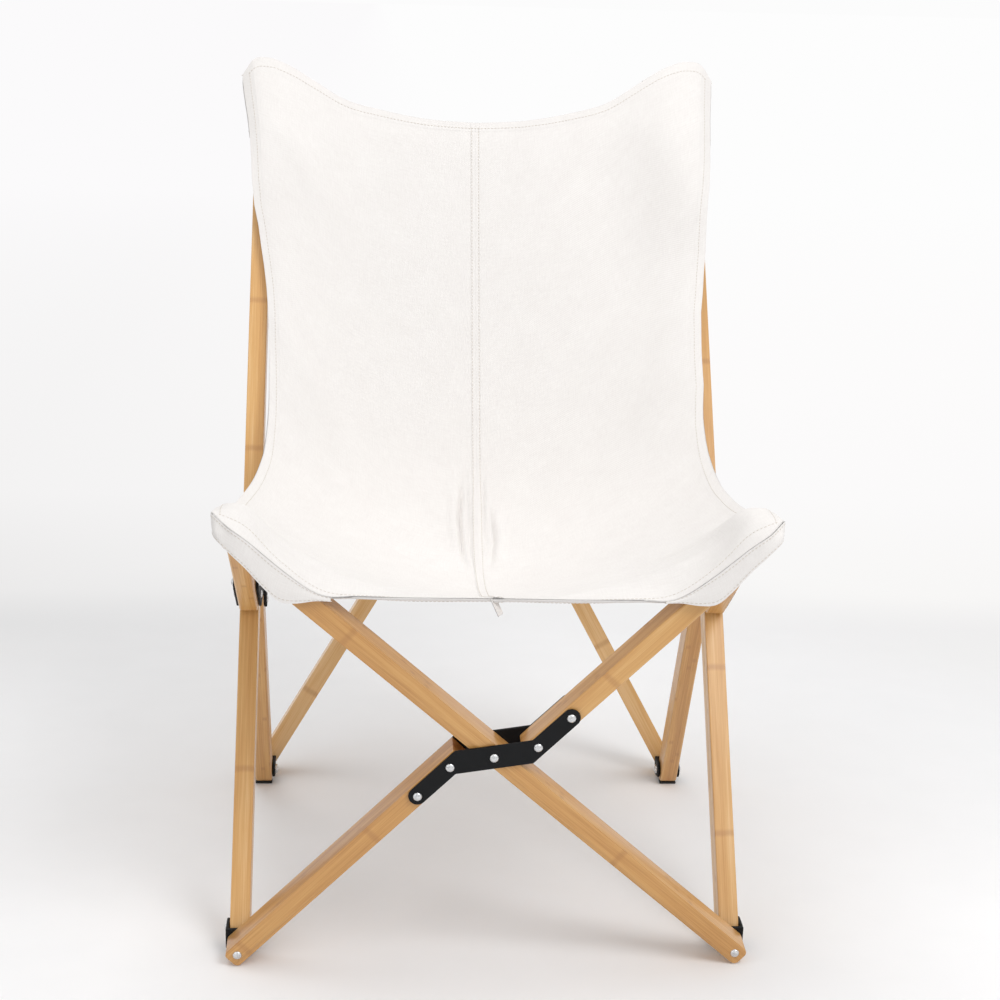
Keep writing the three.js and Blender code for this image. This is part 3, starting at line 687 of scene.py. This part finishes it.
# The sling. Its surface is set by rows from the front hem to the top hem: the middle of each row and its
# edge, in millimetres behind the front foot bolt and above the floor, and the edge's distance to the side.
def through(stops, values):
    """A smooth curve through values, or rows of values, at the given stops."""
    stops, values = np.array(stops, float), np.array(values, float)
    slopes = np.gradient(values, stops, axis=0)
    each_value = (..., *[None] * (values.ndim - 1))

    def at(t):
        t = np.asarray(t, float)
        k = np.clip(np.searchsorted(stops, t, side="right") - 1, 0, len(stops) - 2)
        span = (stops[k + 1] - stops[k])[each_value]
        s = np.clip((t - stops[k])[each_value] / span, 0, 1)
        a, b = values[k], values[k + 1]
        return (
            a * (1 + 2 * s) * (1 - s) ** 2
            + slopes[k] * span * s * (1 - s) ** 2
            + b * s**2 * (3 - 2 * s)
            + slopes[k + 1] * span * s**2 * (s - 1)
        )

    return at


middle_rows = [
    (-88, 395), (-40, 381), (15, 364), (75, 348), (135, 338), (195, 339), (245, 362),
    (292, 410), (340, 482), (392, 570), (445, 672), (492, 765), (513, 801),
]  # fmt: skip
edge_rows = [
    (0, -84, 473.5, 268.5), (0.45, -68, 470.5, 269), (1, -45, 468, 268.5), (2, 0, 460, 265),
    (3, 60, 447, 258.5), (3.7, 120, 445, 253), (4.35, 175, 449, 248), (5, 225, 463, 244),
    (6, 268, 495, 241), (7, 302, 533, 241), (8, 343, 583, 244), (9, 390, 655, 250),
    (10, 435, 735, 258), (11, 484, 803, 267), (11.55, 508, 835, 273), (12, 522, 855, 276),
]  # fmt: skip
middle_line = through(range(len(middle_rows)), middle_rows)
edge_line = through([row[0] for row in edge_rows], [row[1:] for row in edge_rows])
SPLIT_ROW = 5.0
TOP_ROW = 12.0
# How far a row has risen at shares of its half width, at the front hem, over the cross bars, over the
# seat rails' ends, and at the top
front_rise = through([0, 0.5, 0.62, 0.75, 0.82, 0.89, 1], [0, 0.005, 0.035, 0.34, 0.55, 0.76, 1])
cross_rise = through([0, 0.4, 0.62, 0.81, 0.875, 0.935, 1], [0, 0.01, 0.13, 0.65, 0.96, 1.03, 1])
rail_rise = through([0, 0.3, 0.62, 0.8, 0.88, 0.93, 1], [0, 0.06, 0.37, 0.74, 1.02, 1.07, 1])
back_rise = through([0, 0.25, 0.5, 0.7, 0.85, 0.93, 1], [0, 0.07, 0.28, 0.58, 0.87, 0.98, 1])
top_rise = through(
    [0, 0.227, 0.4, 0.57, 0.694, 0.81, 0.9, 0.955, 1], [0, 0.08, 0.245, 0.51, 0.9, 1.245, 1.39, 1.33, 1]
)
# The front seam stands ahead of the cross bars
front_depth = through([0, 0.5, 0.62, 0.75, 0.85, 0.94, 1], [-88, -88.5, -94.5, -99.5, -102, -101.5, -84])
SEAM_SHIFT = -3.5  # the centre seam stands a little to the left everywhere but at the front hem
HEM_SLANT = 1.8  # the front hem hangs this much lower at its right end and higher at its left


def ease(low, high, value):
    s = np.clip((value - low) / (high - low), 0, 1)
    return s * s * (3 - 2 * s)


def rise(u, t):
    """How far a place at u across and t along has risen from the middle's line to the edge's line."""
    u = np.abs(u)
    share = front_rise(u) + (cross_rise(u) - front_rise(u)) * ease(0, 0.45, t)
    share = share + (rail_rise(u) - share) * ease(0.35, 1.1, t)
    share = share + (u**1.8 - share) * ease(1.1, 3.2, t)
    share = share + (back_rise(u) - share) * ease(5.0, 8.0, t)
    return share + (top_rise(u) - share) * ease(9.4, 12, t)


def sling_place(x, t):
    """A place on the sling's middle surface in millimetres, x measured at the centre seam's own place."""
    middle, edge = middle_line(t), edge_line(t)
    u = np.clip(x / edge[..., 2], -1, 1)
    risen = middle + (edge[..., :2] - middle) * rise(u, t)[..., None]
    depth = risen[..., 0] + (front_depth(np.abs(u)) - risen[..., 0]) * (1 - ease(0, 0.4, t))
    height = risen[..., 1] - HEM_SLANT * u * (1 - ease(0, 1.5, t))
    across = x + SEAM_SHIFT * ease(0, 3, t) * (1 - u**2)
    return np.stack([across, depth, height], -1)


def run_lengths(points):
    """The length along a line of points, or down each line of a grid, from its start to each point."""
    steps = np.linalg.norm(np.diff(points, axis=0), axis=-1)
    return np.concatenate([0 * steps[:1], np.cumsum(steps, axis=0)])


# Rows about 5.6 mm apart along the middle, with extra ones at the hems. A column is a share of the row's
# half width and millimetres from there: about 5 mm apart, 2 mm near the centre seam, closer at hems and seam.
EDGE_BAND, INNER_ROWS = 16, 184
SEAM_BAND, SIDE_COLUMNS = 60, 40
near_edge = [0.0, 0.9, 4.0, 8.0, 11.4, 12.2]
near_seam = [5.9, 5.3, 4.9, 4.0, 2.0, 0.5]
fine_rows = np.linspace(0, TOP_ROW, 1201)
middle_length = run_lengths(sling_place(np.zeros_like(fine_rows), fine_rows))
cloth_length = middle_length[-1]
inner = np.linspace(EDGE_BAND, cloth_length - EDGE_BAND, INNER_ROWS)
row_lengths = np.concatenate([near_edge, inner, cloth_length - np.array(near_edge[::-1])])
rows_t = np.interp(row_lengths, middle_length, fine_rows)
split_index = int(np.argmin(np.abs(rows_t - SPLIT_ROW)))
half_columns = [(-1.0, reach) for reach in near_edge]
for k in range(SIDE_COLUMNS):
    share = k / SIDE_COLUMNS
    half_columns.append((share - 1, EDGE_BAND * (1 - share) - SEAM_BAND * share))
half_columns += [(0.0, -reach) for reach in (*np.arange(SEAM_BAND, 7, -2.0), *near_seam)]
columns = half_columns + [(0.0, 0.0)] + [(-a, -b) for a, b in reversed(half_columns)]
column_a, column_b = np.array(columns).T
grid_t = np.repeat(rows_t[:, None], len(columns), 1)
half_width = edge_line(grid_t)[..., 2]
grid_x = column_a[None, :] * half_width + column_b[None, :]
grid_s = np.repeat(row_lengths[:, None], len(columns), 1)
sling = sling_place(grid_x, grid_t)
# The sling isn't sewn on quite even: (length along it, left edge, right edge), edges moved in millimetres
uneven = [
    (200, 0, 0), (240, 3, 1), (290, 6.5, 3), (350, 6.5, 4), (410, 6, 7.5), (470, 6, 6), (530, 6.5, 5),
    (560, 6, 6.5), (590, 4.5, 7), (620, 2.5, 7.8), (650, 1, 7.2), (680, -2, 6.5), (720, -2.5, 6.5),
    (770, -1, 5.5), (820, 0, 3.5), (855, 0, 0),
]  # fmt: skip
LEFT_TOP_DROP = 5
lengths, left_moves, right_moves = zip(*uneven)
share_across = grid_x / half_width
left_move = np.interp(grid_s, lengths, left_moves) * ease(0.2, 1, -share_across)
sling[..., 0] += left_move + np.interp(grid_s, lengths, right_moves) * ease(0.2, 1, share_across)
sling[..., 2] -= LEFT_TOP_DROP * ease(0.3, 0.9, -share_across) * ease(750, 880, grid_s)


def grid_normals(points):
    """Unit normals of a grid of points, on its upper side."""
    normal = np.cross(np.gradient(points, axis=1), np.gradient(points, axis=0))
    return normal / np.maximum(np.linalg.norm(normal, axis=-1, keepdims=True), 1e-9)


def fold(x, s, path, width, height):
    """A fold along a path of (across, along) places in millimetres, dying out at both its ends."""
    path = np.array(path, float)
    lengths = run_lengths(path)
    best = np.full(x.shape, 1e9)
    share = np.zeros(x.shape)
    for k in range(len(path) - 1):
        start, step = path[k], path[k + 1] - path[k]
        reach = np.clip(((x - start[0]) * step[0] + (s - start[1]) * step[1]) / (step @ step), 0, 1)
        away = np.hypot(x - start[0] - reach * step[0], s - start[1] - reach * step[1])
        nearer = away < best
        best = np.where(nearer, away, best)
        share = np.where(nearer, (lengths[k] + reach * (lengths[k + 1] - lengths[k])) / lengths[-1], share)
    swell = ease(0, 0.35, share) * (1 - ease(0.6, 1, share))
    return height * swell * np.exp(-((best / width) ** 2))


# Folds and puckers, as ((across, along) places, half width, height) in millimetres: the crease and pleats
# beside the centre seam where the seat turns up, and the pull from the corners
folds = [
    ([(-14, 440), (-20, 372), (-17, 330), (-9, 285)], 2.4, -6.0),
    ([(-24, 430), (-27, 370), (-23, 310)], 5.5, 4.2),
    ([(-11, 455), (-10, 400), (-9, 340), (-5, 280)], 2.2, -3.0),
    ([(8, 455), (7, 390), (9, 345), (6, 285)], 2.2, -3.0),
    ([(13, 400), (17, 345), (10, 290)], 3.2, -3.8),
    ([(22, 400), (25, 345), (18, 290)], 6, 3.0),
    ([(1, 420), (0, 355), (1, 290)], 4, 1.8),
    ([(-30, 30), (-70, 60), (-120, 80)], 9, 2.0),
    ([(40, 25), (90, 50), (140, 75)], 9, 2.0),
    ([(-255, 60), (-190, 110), (-130, 170)], 13, -3.2),
    ([(255, 60), (190, 110), (120, 170)], 10, -4.6),
    ([(262, 35), (200, 85), (130, 130)], 9, 3.6),
    ([(240, 30), (180, 62), (125, 85)], 7, -3.0),
    ([(218, 900), (225, 790), (236, 715), (247, 600)], 36, 7.5),
    ([(160, 880), (158, 780), (165, 680), (170, 540)], 42, -6.0),
    ([(-255, 848), (-205, 775), (-165, 690)], 20, 2.4),
    ([(-262, 560), (-215, 480), (-150, 400)], 22, 2.8),
    ([(262, 560), (215, 480), (150, 400)], 22, 2.8),
]
lift = sum(fold(grid_x, grid_s, *each) for each in folds)
sling = sling + grid_normals(sling) * lift[..., None]

# The front corners rest on the bars: the cloth is lifted to just above what is under it
support = bmesh.new()
for name in body_of_node:
    if "canvas" not in name and "pocket" not in name and "tag" not in name:
        support.from_mesh(frame["nodes"][name].data)
support_tree = BVHTree.FromBMesh(support)
support.free()
CORNER_DEPTH, CORNER_SIDE = 40, 150  # cloth nearer than this, and farther out than this, may be lifted
CORNER_MARGIN = 5  # the smoothing reaches this far beyond it; 10 towards the middle
HEM_ROWS = 3  # rows of the front hem, which hang free
LOOK_UP = Vector((0, 0, 60 * MM))
LOOK_DOWN = 120 * MM


def to_frame(points):
    """Millimetres behind the front foot bolt to metres in the model's frame."""
    return (np.asarray(points) - np.array([0, MIDDLE_DEPTH / MM, 0])) * MM


def rest_on_frame(points, clearance):
    lifted = points.copy()
    near_corner = (points[..., 1] <= CORNER_DEPTH) & (np.abs(points[..., 0]) >= CORNER_SIDE)
    near_corner[:HEM_ROWS] = False
    for i, j in np.argwhere(near_corner):
        hit = support_tree.ray_cast(Vector(to_frame(points[i, j])) + LOOK_UP, -Z_AXIS, LOOK_DOWN)[0]
        if hit is not None:
            lifted[i, j, 2] = max(points[i, j, 2], hit.z / MM + clearance)
    return lifted


for clearance in (1.7, 1.3):
    sling = rest_on_frame(sling, clearance)
    smoothed = sling.copy()
    smoothed[1:-1, 1:-1] = (
        sling[1:-1, 1:-1] * 2 + sling[:-2, 1:-1] + sling[2:, 1:-1] + sling[1:-1, :-2] + sling[1:-1, 2:]
    ) / 6
    in_corner = (smoothed[..., 1] < CORNER_DEPTH + CORNER_MARGIN) & (
        np.abs(smoothed[..., 0]) > CORNER_SIDE - 2 * CORNER_MARGIN
    )
    sling = np.where(in_corner[..., None], smoothed, sling)
sling = rest_on_frame(sling, 1.2)

# Half the cloth's thickness: twice as thick in the hems, and thicker again along the felled centre seam
HALF_CLOTH, HALF_TAG = 0.8, 0.35
half_thickness = np.full(grid_x.shape, HALF_CLOTH)
rim_distance = np.minimum(half_width - np.abs(grid_x), np.minimum(grid_s, cloth_length - grid_s))
half_thickness += 0.6 * (1 - ease(11.4, 12.2, rim_distance))
felled = 0.5 * (1 - ease(0, 0.5, grid_x)) * (grid_x > -5.1)
half_thickness += 0.6 * (1 - ease(4.9, 5.3, np.abs(grid_x))) + felled
half_thickness *= 0.55 + 0.45 * ease(-0.1, 0.9, rim_distance)


def cloth_piece(name, body, points, half, normals, flip=False):
    """A closed sheet from a grid of points in millimetres, with weave coordinates in metres."""
    if flip:
        normals = -normals
    rows, cols = points.shape[:2]
    half = np.broadcast_to(half, points.shape[:2])
    top = to_frame(points + normals * half[..., None]).reshape(-1, 3)
    bottom = to_frame(points - normals * half[..., None]).reshape(-1, 3)
    count = rows * cols
    index = np.arange(count).reshape(rows, cols)
    quads = np.stack([index[:-1, :-1], index[:-1, 1:], index[1:, 1:], index[1:, :-1]], -1).reshape(-1, 4)
    rim = np.concatenate([index[0, :], index[1:, -1], index[-1, -2::-1], index[-2:0:-1, 0]])
    if flip:
        quads, rim = quads[:, ::-1], rim[::-1]
    after = np.roll(rim, -1)
    walls = np.stack([after, rim, rim + count, after + count], -1)
    faces = np.concatenate([quads, quads[:, ::-1] + count, walls])
    mesh = new_mesh(name, np.concatenate([top, bottom]).tolist(), [], faces.tolist())
    reach = run_lengths(points.swapaxes(0, 1)).T
    reach = reach - reach[:, cols // 2 : cols // 2 + 1]
    weave = np.tile(np.stack([reach, run_lengths(points)], -1).reshape(-1, 2) * MM, (2, 1))
    layer = mesh.uv_layers.new(name="weave")
    corners = np.zeros(len(mesh.loops), int)
    mesh.loops.foreach_get("vertex_index", corners)
    layer.data.foreach_set("uv", weave[corners].astype(np.float32).ravel())
    mesh.shade_smooth()
    way = np.concatenate([normals.reshape(-1, 3), -normals.reshape(-1, 3)])
    mesh.normals_split_custom_set_from_vertices(way.tolist())
    mesh.validate()
    return carried(new_object(name, mesh, canvas), body)


def flat_area(points):
    """The area of a grid of points, in square metres."""
    one = points[1:, :-1] - points[:-1, :-1]
    two = points[:-1, 1:] - points[:-1, :-1]
    return float(np.linalg.norm(np.cross(one, two), axis=-1).sum()) * MM * MM


def sewn(name, lines, body):
    """One piece of stitching along lines of places in metres."""
    places, edges = [], []
    for line in lines:
        start = len(places)
        places.extend([tuple(p) for p in line])
        edges.extend([(start + k, start + k + 1) for k in range(len(line) - 1)])
    line_mesh = new_mesh(name, places, edges, [])
    return carried(worked(name, line_mesh, stitches, Finish=thread), body)


def both_faces(points, normals, half, rows, cols):
    """A line over the grid, on the upper and on the under face of the cloth."""
    rows, cols = np.broadcast_arrays(rows, cols)
    spots = points[rows, cols]
    reach = normals[rows, cols] * (half[rows, cols] + STITCH_RISE)[..., None]
    return [to_frame(spots + reach), to_frame(spots - reach)]


STITCH_RISE = 0.1  # from the cloth to the middle of a stitch
sling_normals = grid_normals(sling)
last_column, last_row = len(columns) - 1, len(rows_t) - 1
hem = near_edge.index(8.0)  # the row and the column of the hems' stitches
seam_column = columns.index((0.0, -4.0))
every_row = np.arange(len(rows_t))
between_hems = np.arange(hem, last_column - hem + 1)
sling_pieces = {}
for name, body, chosen, end_row in (
    ("seat_sling", "left_side", every_row[: split_index + 1], hem),
    ("back_sling", "left_long", every_row[split_index:], last_row - hem),
):
    cloth = cloth_piece(name, body, sling[chosen], half_thickness[chosen], sling_normals[chosen])
    long_rows = chosen[(chosen >= hem) & (chosen <= last_row - hem)]
    lines = []
    for column in (hem, last_column - hem, seam_column, last_column - seam_column):
        lines += both_faces(sling, sling_normals, half_thickness, long_rows, column)
    lines += both_faces(sling, sling_normals, half_thickness, end_row, between_hems)
    stitching = sewn(name + "_stitching", lines, body)
    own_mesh(cloth)
    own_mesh(stitching)
    sling_pieces[name] = (cloth, stitching, flat_area(sling[chosen]))


# The pockets: rows from the top line to the bottom line, given for the right side in millimetres
def smooth_between(rows, count):
    """A number of rows evenly along the smooth curve through a few given ones."""
    return through(range(len(rows)), rows)(np.linspace(0, len(rows) - 1, count))


seat_pocket_stations = [
    [(158, -93.5, 396), (158, -93.8, 394.5), (158, -94, 393)],
    [(174, -97, 404), (173, -97.5, 399), (172, -97, 394.5)],
    [(196, -100.2, 417.5), (193, -101, 405), (190, -100, 393)],
    [(212, -102.2, 430.5), (208, -103, 412), (205, -102, 395)],
    [(226, -103.2, 442), (222, -104, 424), (218, -103.4, 406.5)],
    [(240, -104, 453.5), (238, -104.5, 441), (236, -104, 427)],
    [(253, -103, 463), (251, -104.3, 452), (249, -104, 440)],
    [(263, -97, 470), (264, -99.5, 461), (261.5, -100.5, 452)],
    [(268.3, -84, 473.5), (267.5, -88, 463), (266, -89, 454)],
    [(269, -68, 470.5), (268.4, -70, 461.5), (267.8, -70, 453)],
    [(268.5, -42, 468), (268.6, -42, 460), (268.2, -41, 452)],
    [(267.3, -12, 462), (267.8, -12, 456), (267.8, -12, 450)],
]
back_pocket_stations = [
    [(276, 522, 855), (275, 516, 846), (273, 508, 835), (264.5, 470, 781)],
    [(275.5, 523, 858), (276, 525, 850), (275, 521, 836), (266, 497, 781)],
    [(274.5, 524, 861), (275.5, 541, 852), (274, 545, 834), (267, 535, 781)],
    [(272, 525, 864), (275, 560, 853), (274, 571, 832), (267, 568, 781)],
    [(267, 526, 867), (270, 575, 855), (271, 591, 832), (264, 590, 781)],
    [(257, 526, 869), (259, 580, 858), (260, 597, 831), (253, 596, 781)],
    [(240, 526, 867.5), (240, 581, 858), (240, 598.5, 830), (236, 598, 781)],
    [(222, 526, 861), (220, 580, 854), (218, 597, 828), (216, 597, 781)],
    [(200, 525, 849), (202, 572, 847), (202, 594, 825), (200, 596, 781)],
]


def nearest_on(line, spots):
    """The nearest places on a line of points, for a list of places."""
    steps = np.linspace(0, len(line) - 1, 3000)
    dense = np.stack([np.interp(steps, np.arange(len(line)), line[:, c]) for c in range(3)], -1)
    away = np.linalg.norm(spots[:, None, :] - dense[None, :, :], axis=-1)
    return dense[away.argmin(1)]


BACK_POCKET_DROP = 1.8  # a back pocket's top line hangs this much under the sling's edge
SEAT_EDGE_ROWS, BACK_EDGE_ROWS = 40, 44


def sewn_to_sling(surface, side, kind):
    """Draws a pocket's top line, and a back pocket's front line, onto the sling's own edge."""
    half = len(columns) // 2
    across = slice(half, None) if side > 0 else slice(half, None, -1)
    mirrored = sling * np.array([side, 1, 1])
    sling_edge = mirrored[:, -1 if side > 0 else 0]
    if kind == "seat":
        end_line, side_line, drop = mirrored[0, across], sling_edge[:SEAT_EDGE_ROWS], 0
    else:
        end_line, side_line = mirrored[-1, across], sling_edge[::-1][:BACK_EDGE_ROWS]
        drop = BACK_POCKET_DROP
    wide = np.linspace(0, 1, surface.shape[0])[:, None, None]
    tall = np.linspace(0, 1, surface.shape[1])[None, :, None]
    pull = nearest_on(np.concatenate([end_line, side_line[1:]]), surface[:, 0]) - surface[:, 0]
    pull[:, 2] -= drop
    surface = surface + pull[:, None, :] * (1 - ease(0, 0.8, tall))
    if kind == "back":
        pull = nearest_on(side_line, surface[0]) - surface[0]
        surface = surface + pull[None, :, :] * (1 - ease(0, 0.2, wide))
    return surface


pocket_pieces = []
for side_name, side in (("left", -1), ("right", 1)):
    for kind, stations, counts, body, held_by, flat in (
        ("seat", seat_pocket_stations, (70, 10), side_name + "_side", "seat_rail", (0.24, 0.05)),
        ("back", back_pocket_stations, (60, 26), side_name + "_long", "long_bar", (0.24, 0.16)),
    ):
        lines_down = smooth_between(stations, counts[0]).swapaxes(0, 1)
        surface = smooth_between(lines_down, counts[1]).swapaxes(0, 1)
        surface = sewn_to_sling(surface, side, kind) * np.array([side, 1, 1])
        normals = grid_normals(surface)
        outwards = np.array([side * 1.0, -0.6 if kind == "seat" else 0.6, 0.0])
        flip = bool(normals.mean((0, 1)) @ outwards < 0)
        name = f"{side_name}_{kind}_pocket"
        cloth = cloth_piece(name + "_cloth", body, surface, HALF_CLOTH, normals, flip)
        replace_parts(cloth, name)
        half = np.full(counts, HALF_CLOTH)
        lines = []
        for line in (counts[1] - 2, 1):
            lines += both_faces(surface, normals, half, np.arange(counts[0]), line)
        stitching = sewn(name + "_stitching", lines, body)
        pocket_pieces.append((cloth, stitching, flat_area(surface), f"{side_name}_{held_by}", flat))

# The bare tag sewn under the front hem
tag_across, tag_drop = np.meshgrid(np.linspace(-1, 1, 9), np.linspace(0, 1, 12), indexing="ij")
tag_points = np.stack(
    [
        -5.5 + 2.4 * tag_across + 8 * tag_drop,
        -84 + 5.4 * tag_across - 1.5 * np.sin(2.4 * tag_drop),
        395 - 17 * tag_drop,
    ],
    -1,
)
tag = cloth_piece("bare_tag", "left_side", tag_points, HALF_TAG, grid_normals(tag_points))
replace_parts(tag, "hem_tag")
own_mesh(tag)

seat_rests = ["left_seat_rail", "right_seat_rail", "front_cross_through_bar"]
back_rests = ["left_long_bar", "right_long_bar"]
for name, flat, node, rests_on, others in (
    ("seat_sling", (0.66, 0.40), "canvas_seat", seat_rests, [tag]),
    ("back_sling", (0.66, 0.66), "canvas_back", back_rests, []),
):
    cloth, stitching, area = sling_pieces[name]
    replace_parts(cloth, node)
LEAST_SHARE = 0.31  # of its bounding strip that a pocket's cloth fills
for cloth, stitching, area, held_by, flat in pocket_pieces:
    strip = flat[0] * flat[1]
    area = min(max(area, LEAST_SHARE * strip), strip)


# Floor, lamps and world
FLOOR_REACH = 300.0


def camera_or_mirror(nodes):
    """1 for what the camera sees straight or in a reflection, 0 for light that falls on the chair."""
    rays = nodes.add("ShaderNodeLightPath").outputs
    seen = {0: rays["Is Camera Ray"], 1: rays["Is Glossy Ray"]}
    return nodes.add("ShaderNodeMath", seen, operation="MAXIMUM")


def floor_finish():
    """A pale painted floor, painted lighter towards the right as painted light. Far from the chair it glows
    as the backdrop
    that the camera sees, with painted shade: a darker band just behind the chair, and darker towards the
    left.
    """
    look = Finish("pale_floor", Base_Color=paint("#EEEBE8"), Roughness=0.75)
    place = look.add("ShaderNodeTexCoord").outputs["Object"]
    parts = look.add("ShaderNodeSeparateXYZ", {0: place}).outputs
    mottle = look.add("ShaderNodeTexNoise", {"Vector": place, "Scale": 14.0, "Detail": 5.0})
    # Painted light: the floor's colour grows lighter towards the right, the key lamp's side
    painted_light_to_right = look.add("ShaderNodeMath", {0: parts["X"], 1: 0.16, 2: 0.25}, operation="MULTIPLY_ADD")
    tone = look.add("ShaderNodeMath", {0: mottle, 1: 0.35, 2: painted_light_to_right}, operation="MULTIPLY_ADD")
    near = colour_stops(look.add("ShaderNodeValToRGB", {0: tone}), [(0.1, "#F3F3F4"), (0.8, "#FBFBFC")])
    look.feed("Base Color", near)
    # Painted shade on the far floor that the camera sees: a darker band from 0.7 m to about 1 m behind the
    # middle, where a backdrop would curve up
    away = look.add("ShaderNodeMapRange", {0: parts["Y"], 1: 0.7, 2: 8.0, 3: 0.0, 4: 1.0})
    steps = (0.0, 0.02, 0.045, 0.137, 0.3, 1.0)
    left_tones_with_painted_shade = ("#DFDEDD", "#DDDDDD", "#E9E8E8", "#F3F2F2", "#F5F4F4", "#FBFAFB")
    right_tones_with_painted_shade = ("#F0EFEE", "#F0EFEF", "#F8F7F6", "#FBFAFA", "#FCFBFB", "#FDFDFD")
    left, right = (
        colour_stops(look.add("ShaderNodeValToRGB", {0: away}), list(zip(steps, tones)))
        for tones in (left_tones_with_painted_shade, right_tones_with_painted_shade)
    )
    # Painted shade: the backdrop is darker towards the left
    rightness = look.add("ShaderNodeMapRange", {0: parts["X"], 1: -0.9, 2: 0.45, 3: 0.0, 4: 1.0})
    far = look.add("ShaderNodeMix", {0: rightness, 6: left, 7: right}, data_type="RGBA").outputs[2]
    bright = look.add("ShaderNodeEmission", {"Color": far, "Strength": 1.0})
    distance = look.add("ShaderNodeVectorMath", {0: place}, operation="LENGTH").outputs["Value"]
    spans = {0: distance, 1: 0.75, 2: 1.3, 3: 0.0, 4: 1.0}
    remote = look.add("ShaderNodeMapRange", spans, interpolation_type="SMOOTHSTEP")
    share = look.add("ShaderNodeMath", {0: camera_or_mirror(look), 1: remote}, operation="MULTIPLY")
    mixed = look.add("ShaderNodeMixShader", {0: share, 1: look.shader, 2: bright}).outputs[0]
    look.tree.links.new(mixed, look.tree.nodes["Material Output"].inputs["Surface"])
    return look.material


floor_corners = [(x * FLOOR_REACH, y * FLOOR_REACH, 0) for x, y in ((-1, -1), (1, -1), (1, 1), (-1, 1))]
new_object("floor", new_mesh("floor", floor_corners, [], [(0, 1, 2, 3)]), floor_finish())


def soft_box(name, place, aim_height, width, power):
    """A large soft lamp at a place, turned towards the chair's middle at a height."""
    lamp_data = bpy.data.lights.new(name, "AREA")
    lamp_data.shape = "DISK"
    lamp_data.size = width
    lamp_data.energy = power
    lamp = new_object(name, lamp_data)
    lamp.location = place
    lamp.rotation_euler = (Vector((0, 0, aim_height)) - Vector(place)).to_track_quat("-Z", "Y").to_euler()


soft_box("key_lamp", (1.25, -1.75, 2.35), 0.45, 1.5, 31)
soft_box("fill_lamp", (-2.0, -1.8, 1.6), 0.4, 1.8, 5)
soft_box("top_lamp", (-0.4, 0.3, 2.9), 0.4, 1.8, 20)

AMBIENT, BACKDROP = 0.62, 1.0  # the sky's strength as light and as seen
world = bpy.data.worlds.new("studio")
bpy.context.scene.world = world
world.use_nodes = True
air = Nodes(world.node_tree)
sky = world.node_tree.nodes["Background"]
sky.inputs["Color"].default_value = paint("#FCFCFC")
level = air.add("ShaderNodeMapRange", {0: camera_or_mirror(air), 1: 0.0, 2: 1.0, 3: AMBIENT, 4: BACKDROP})
world.node_tree.links.new(level.outputs[0], sky.inputs["Strength"])
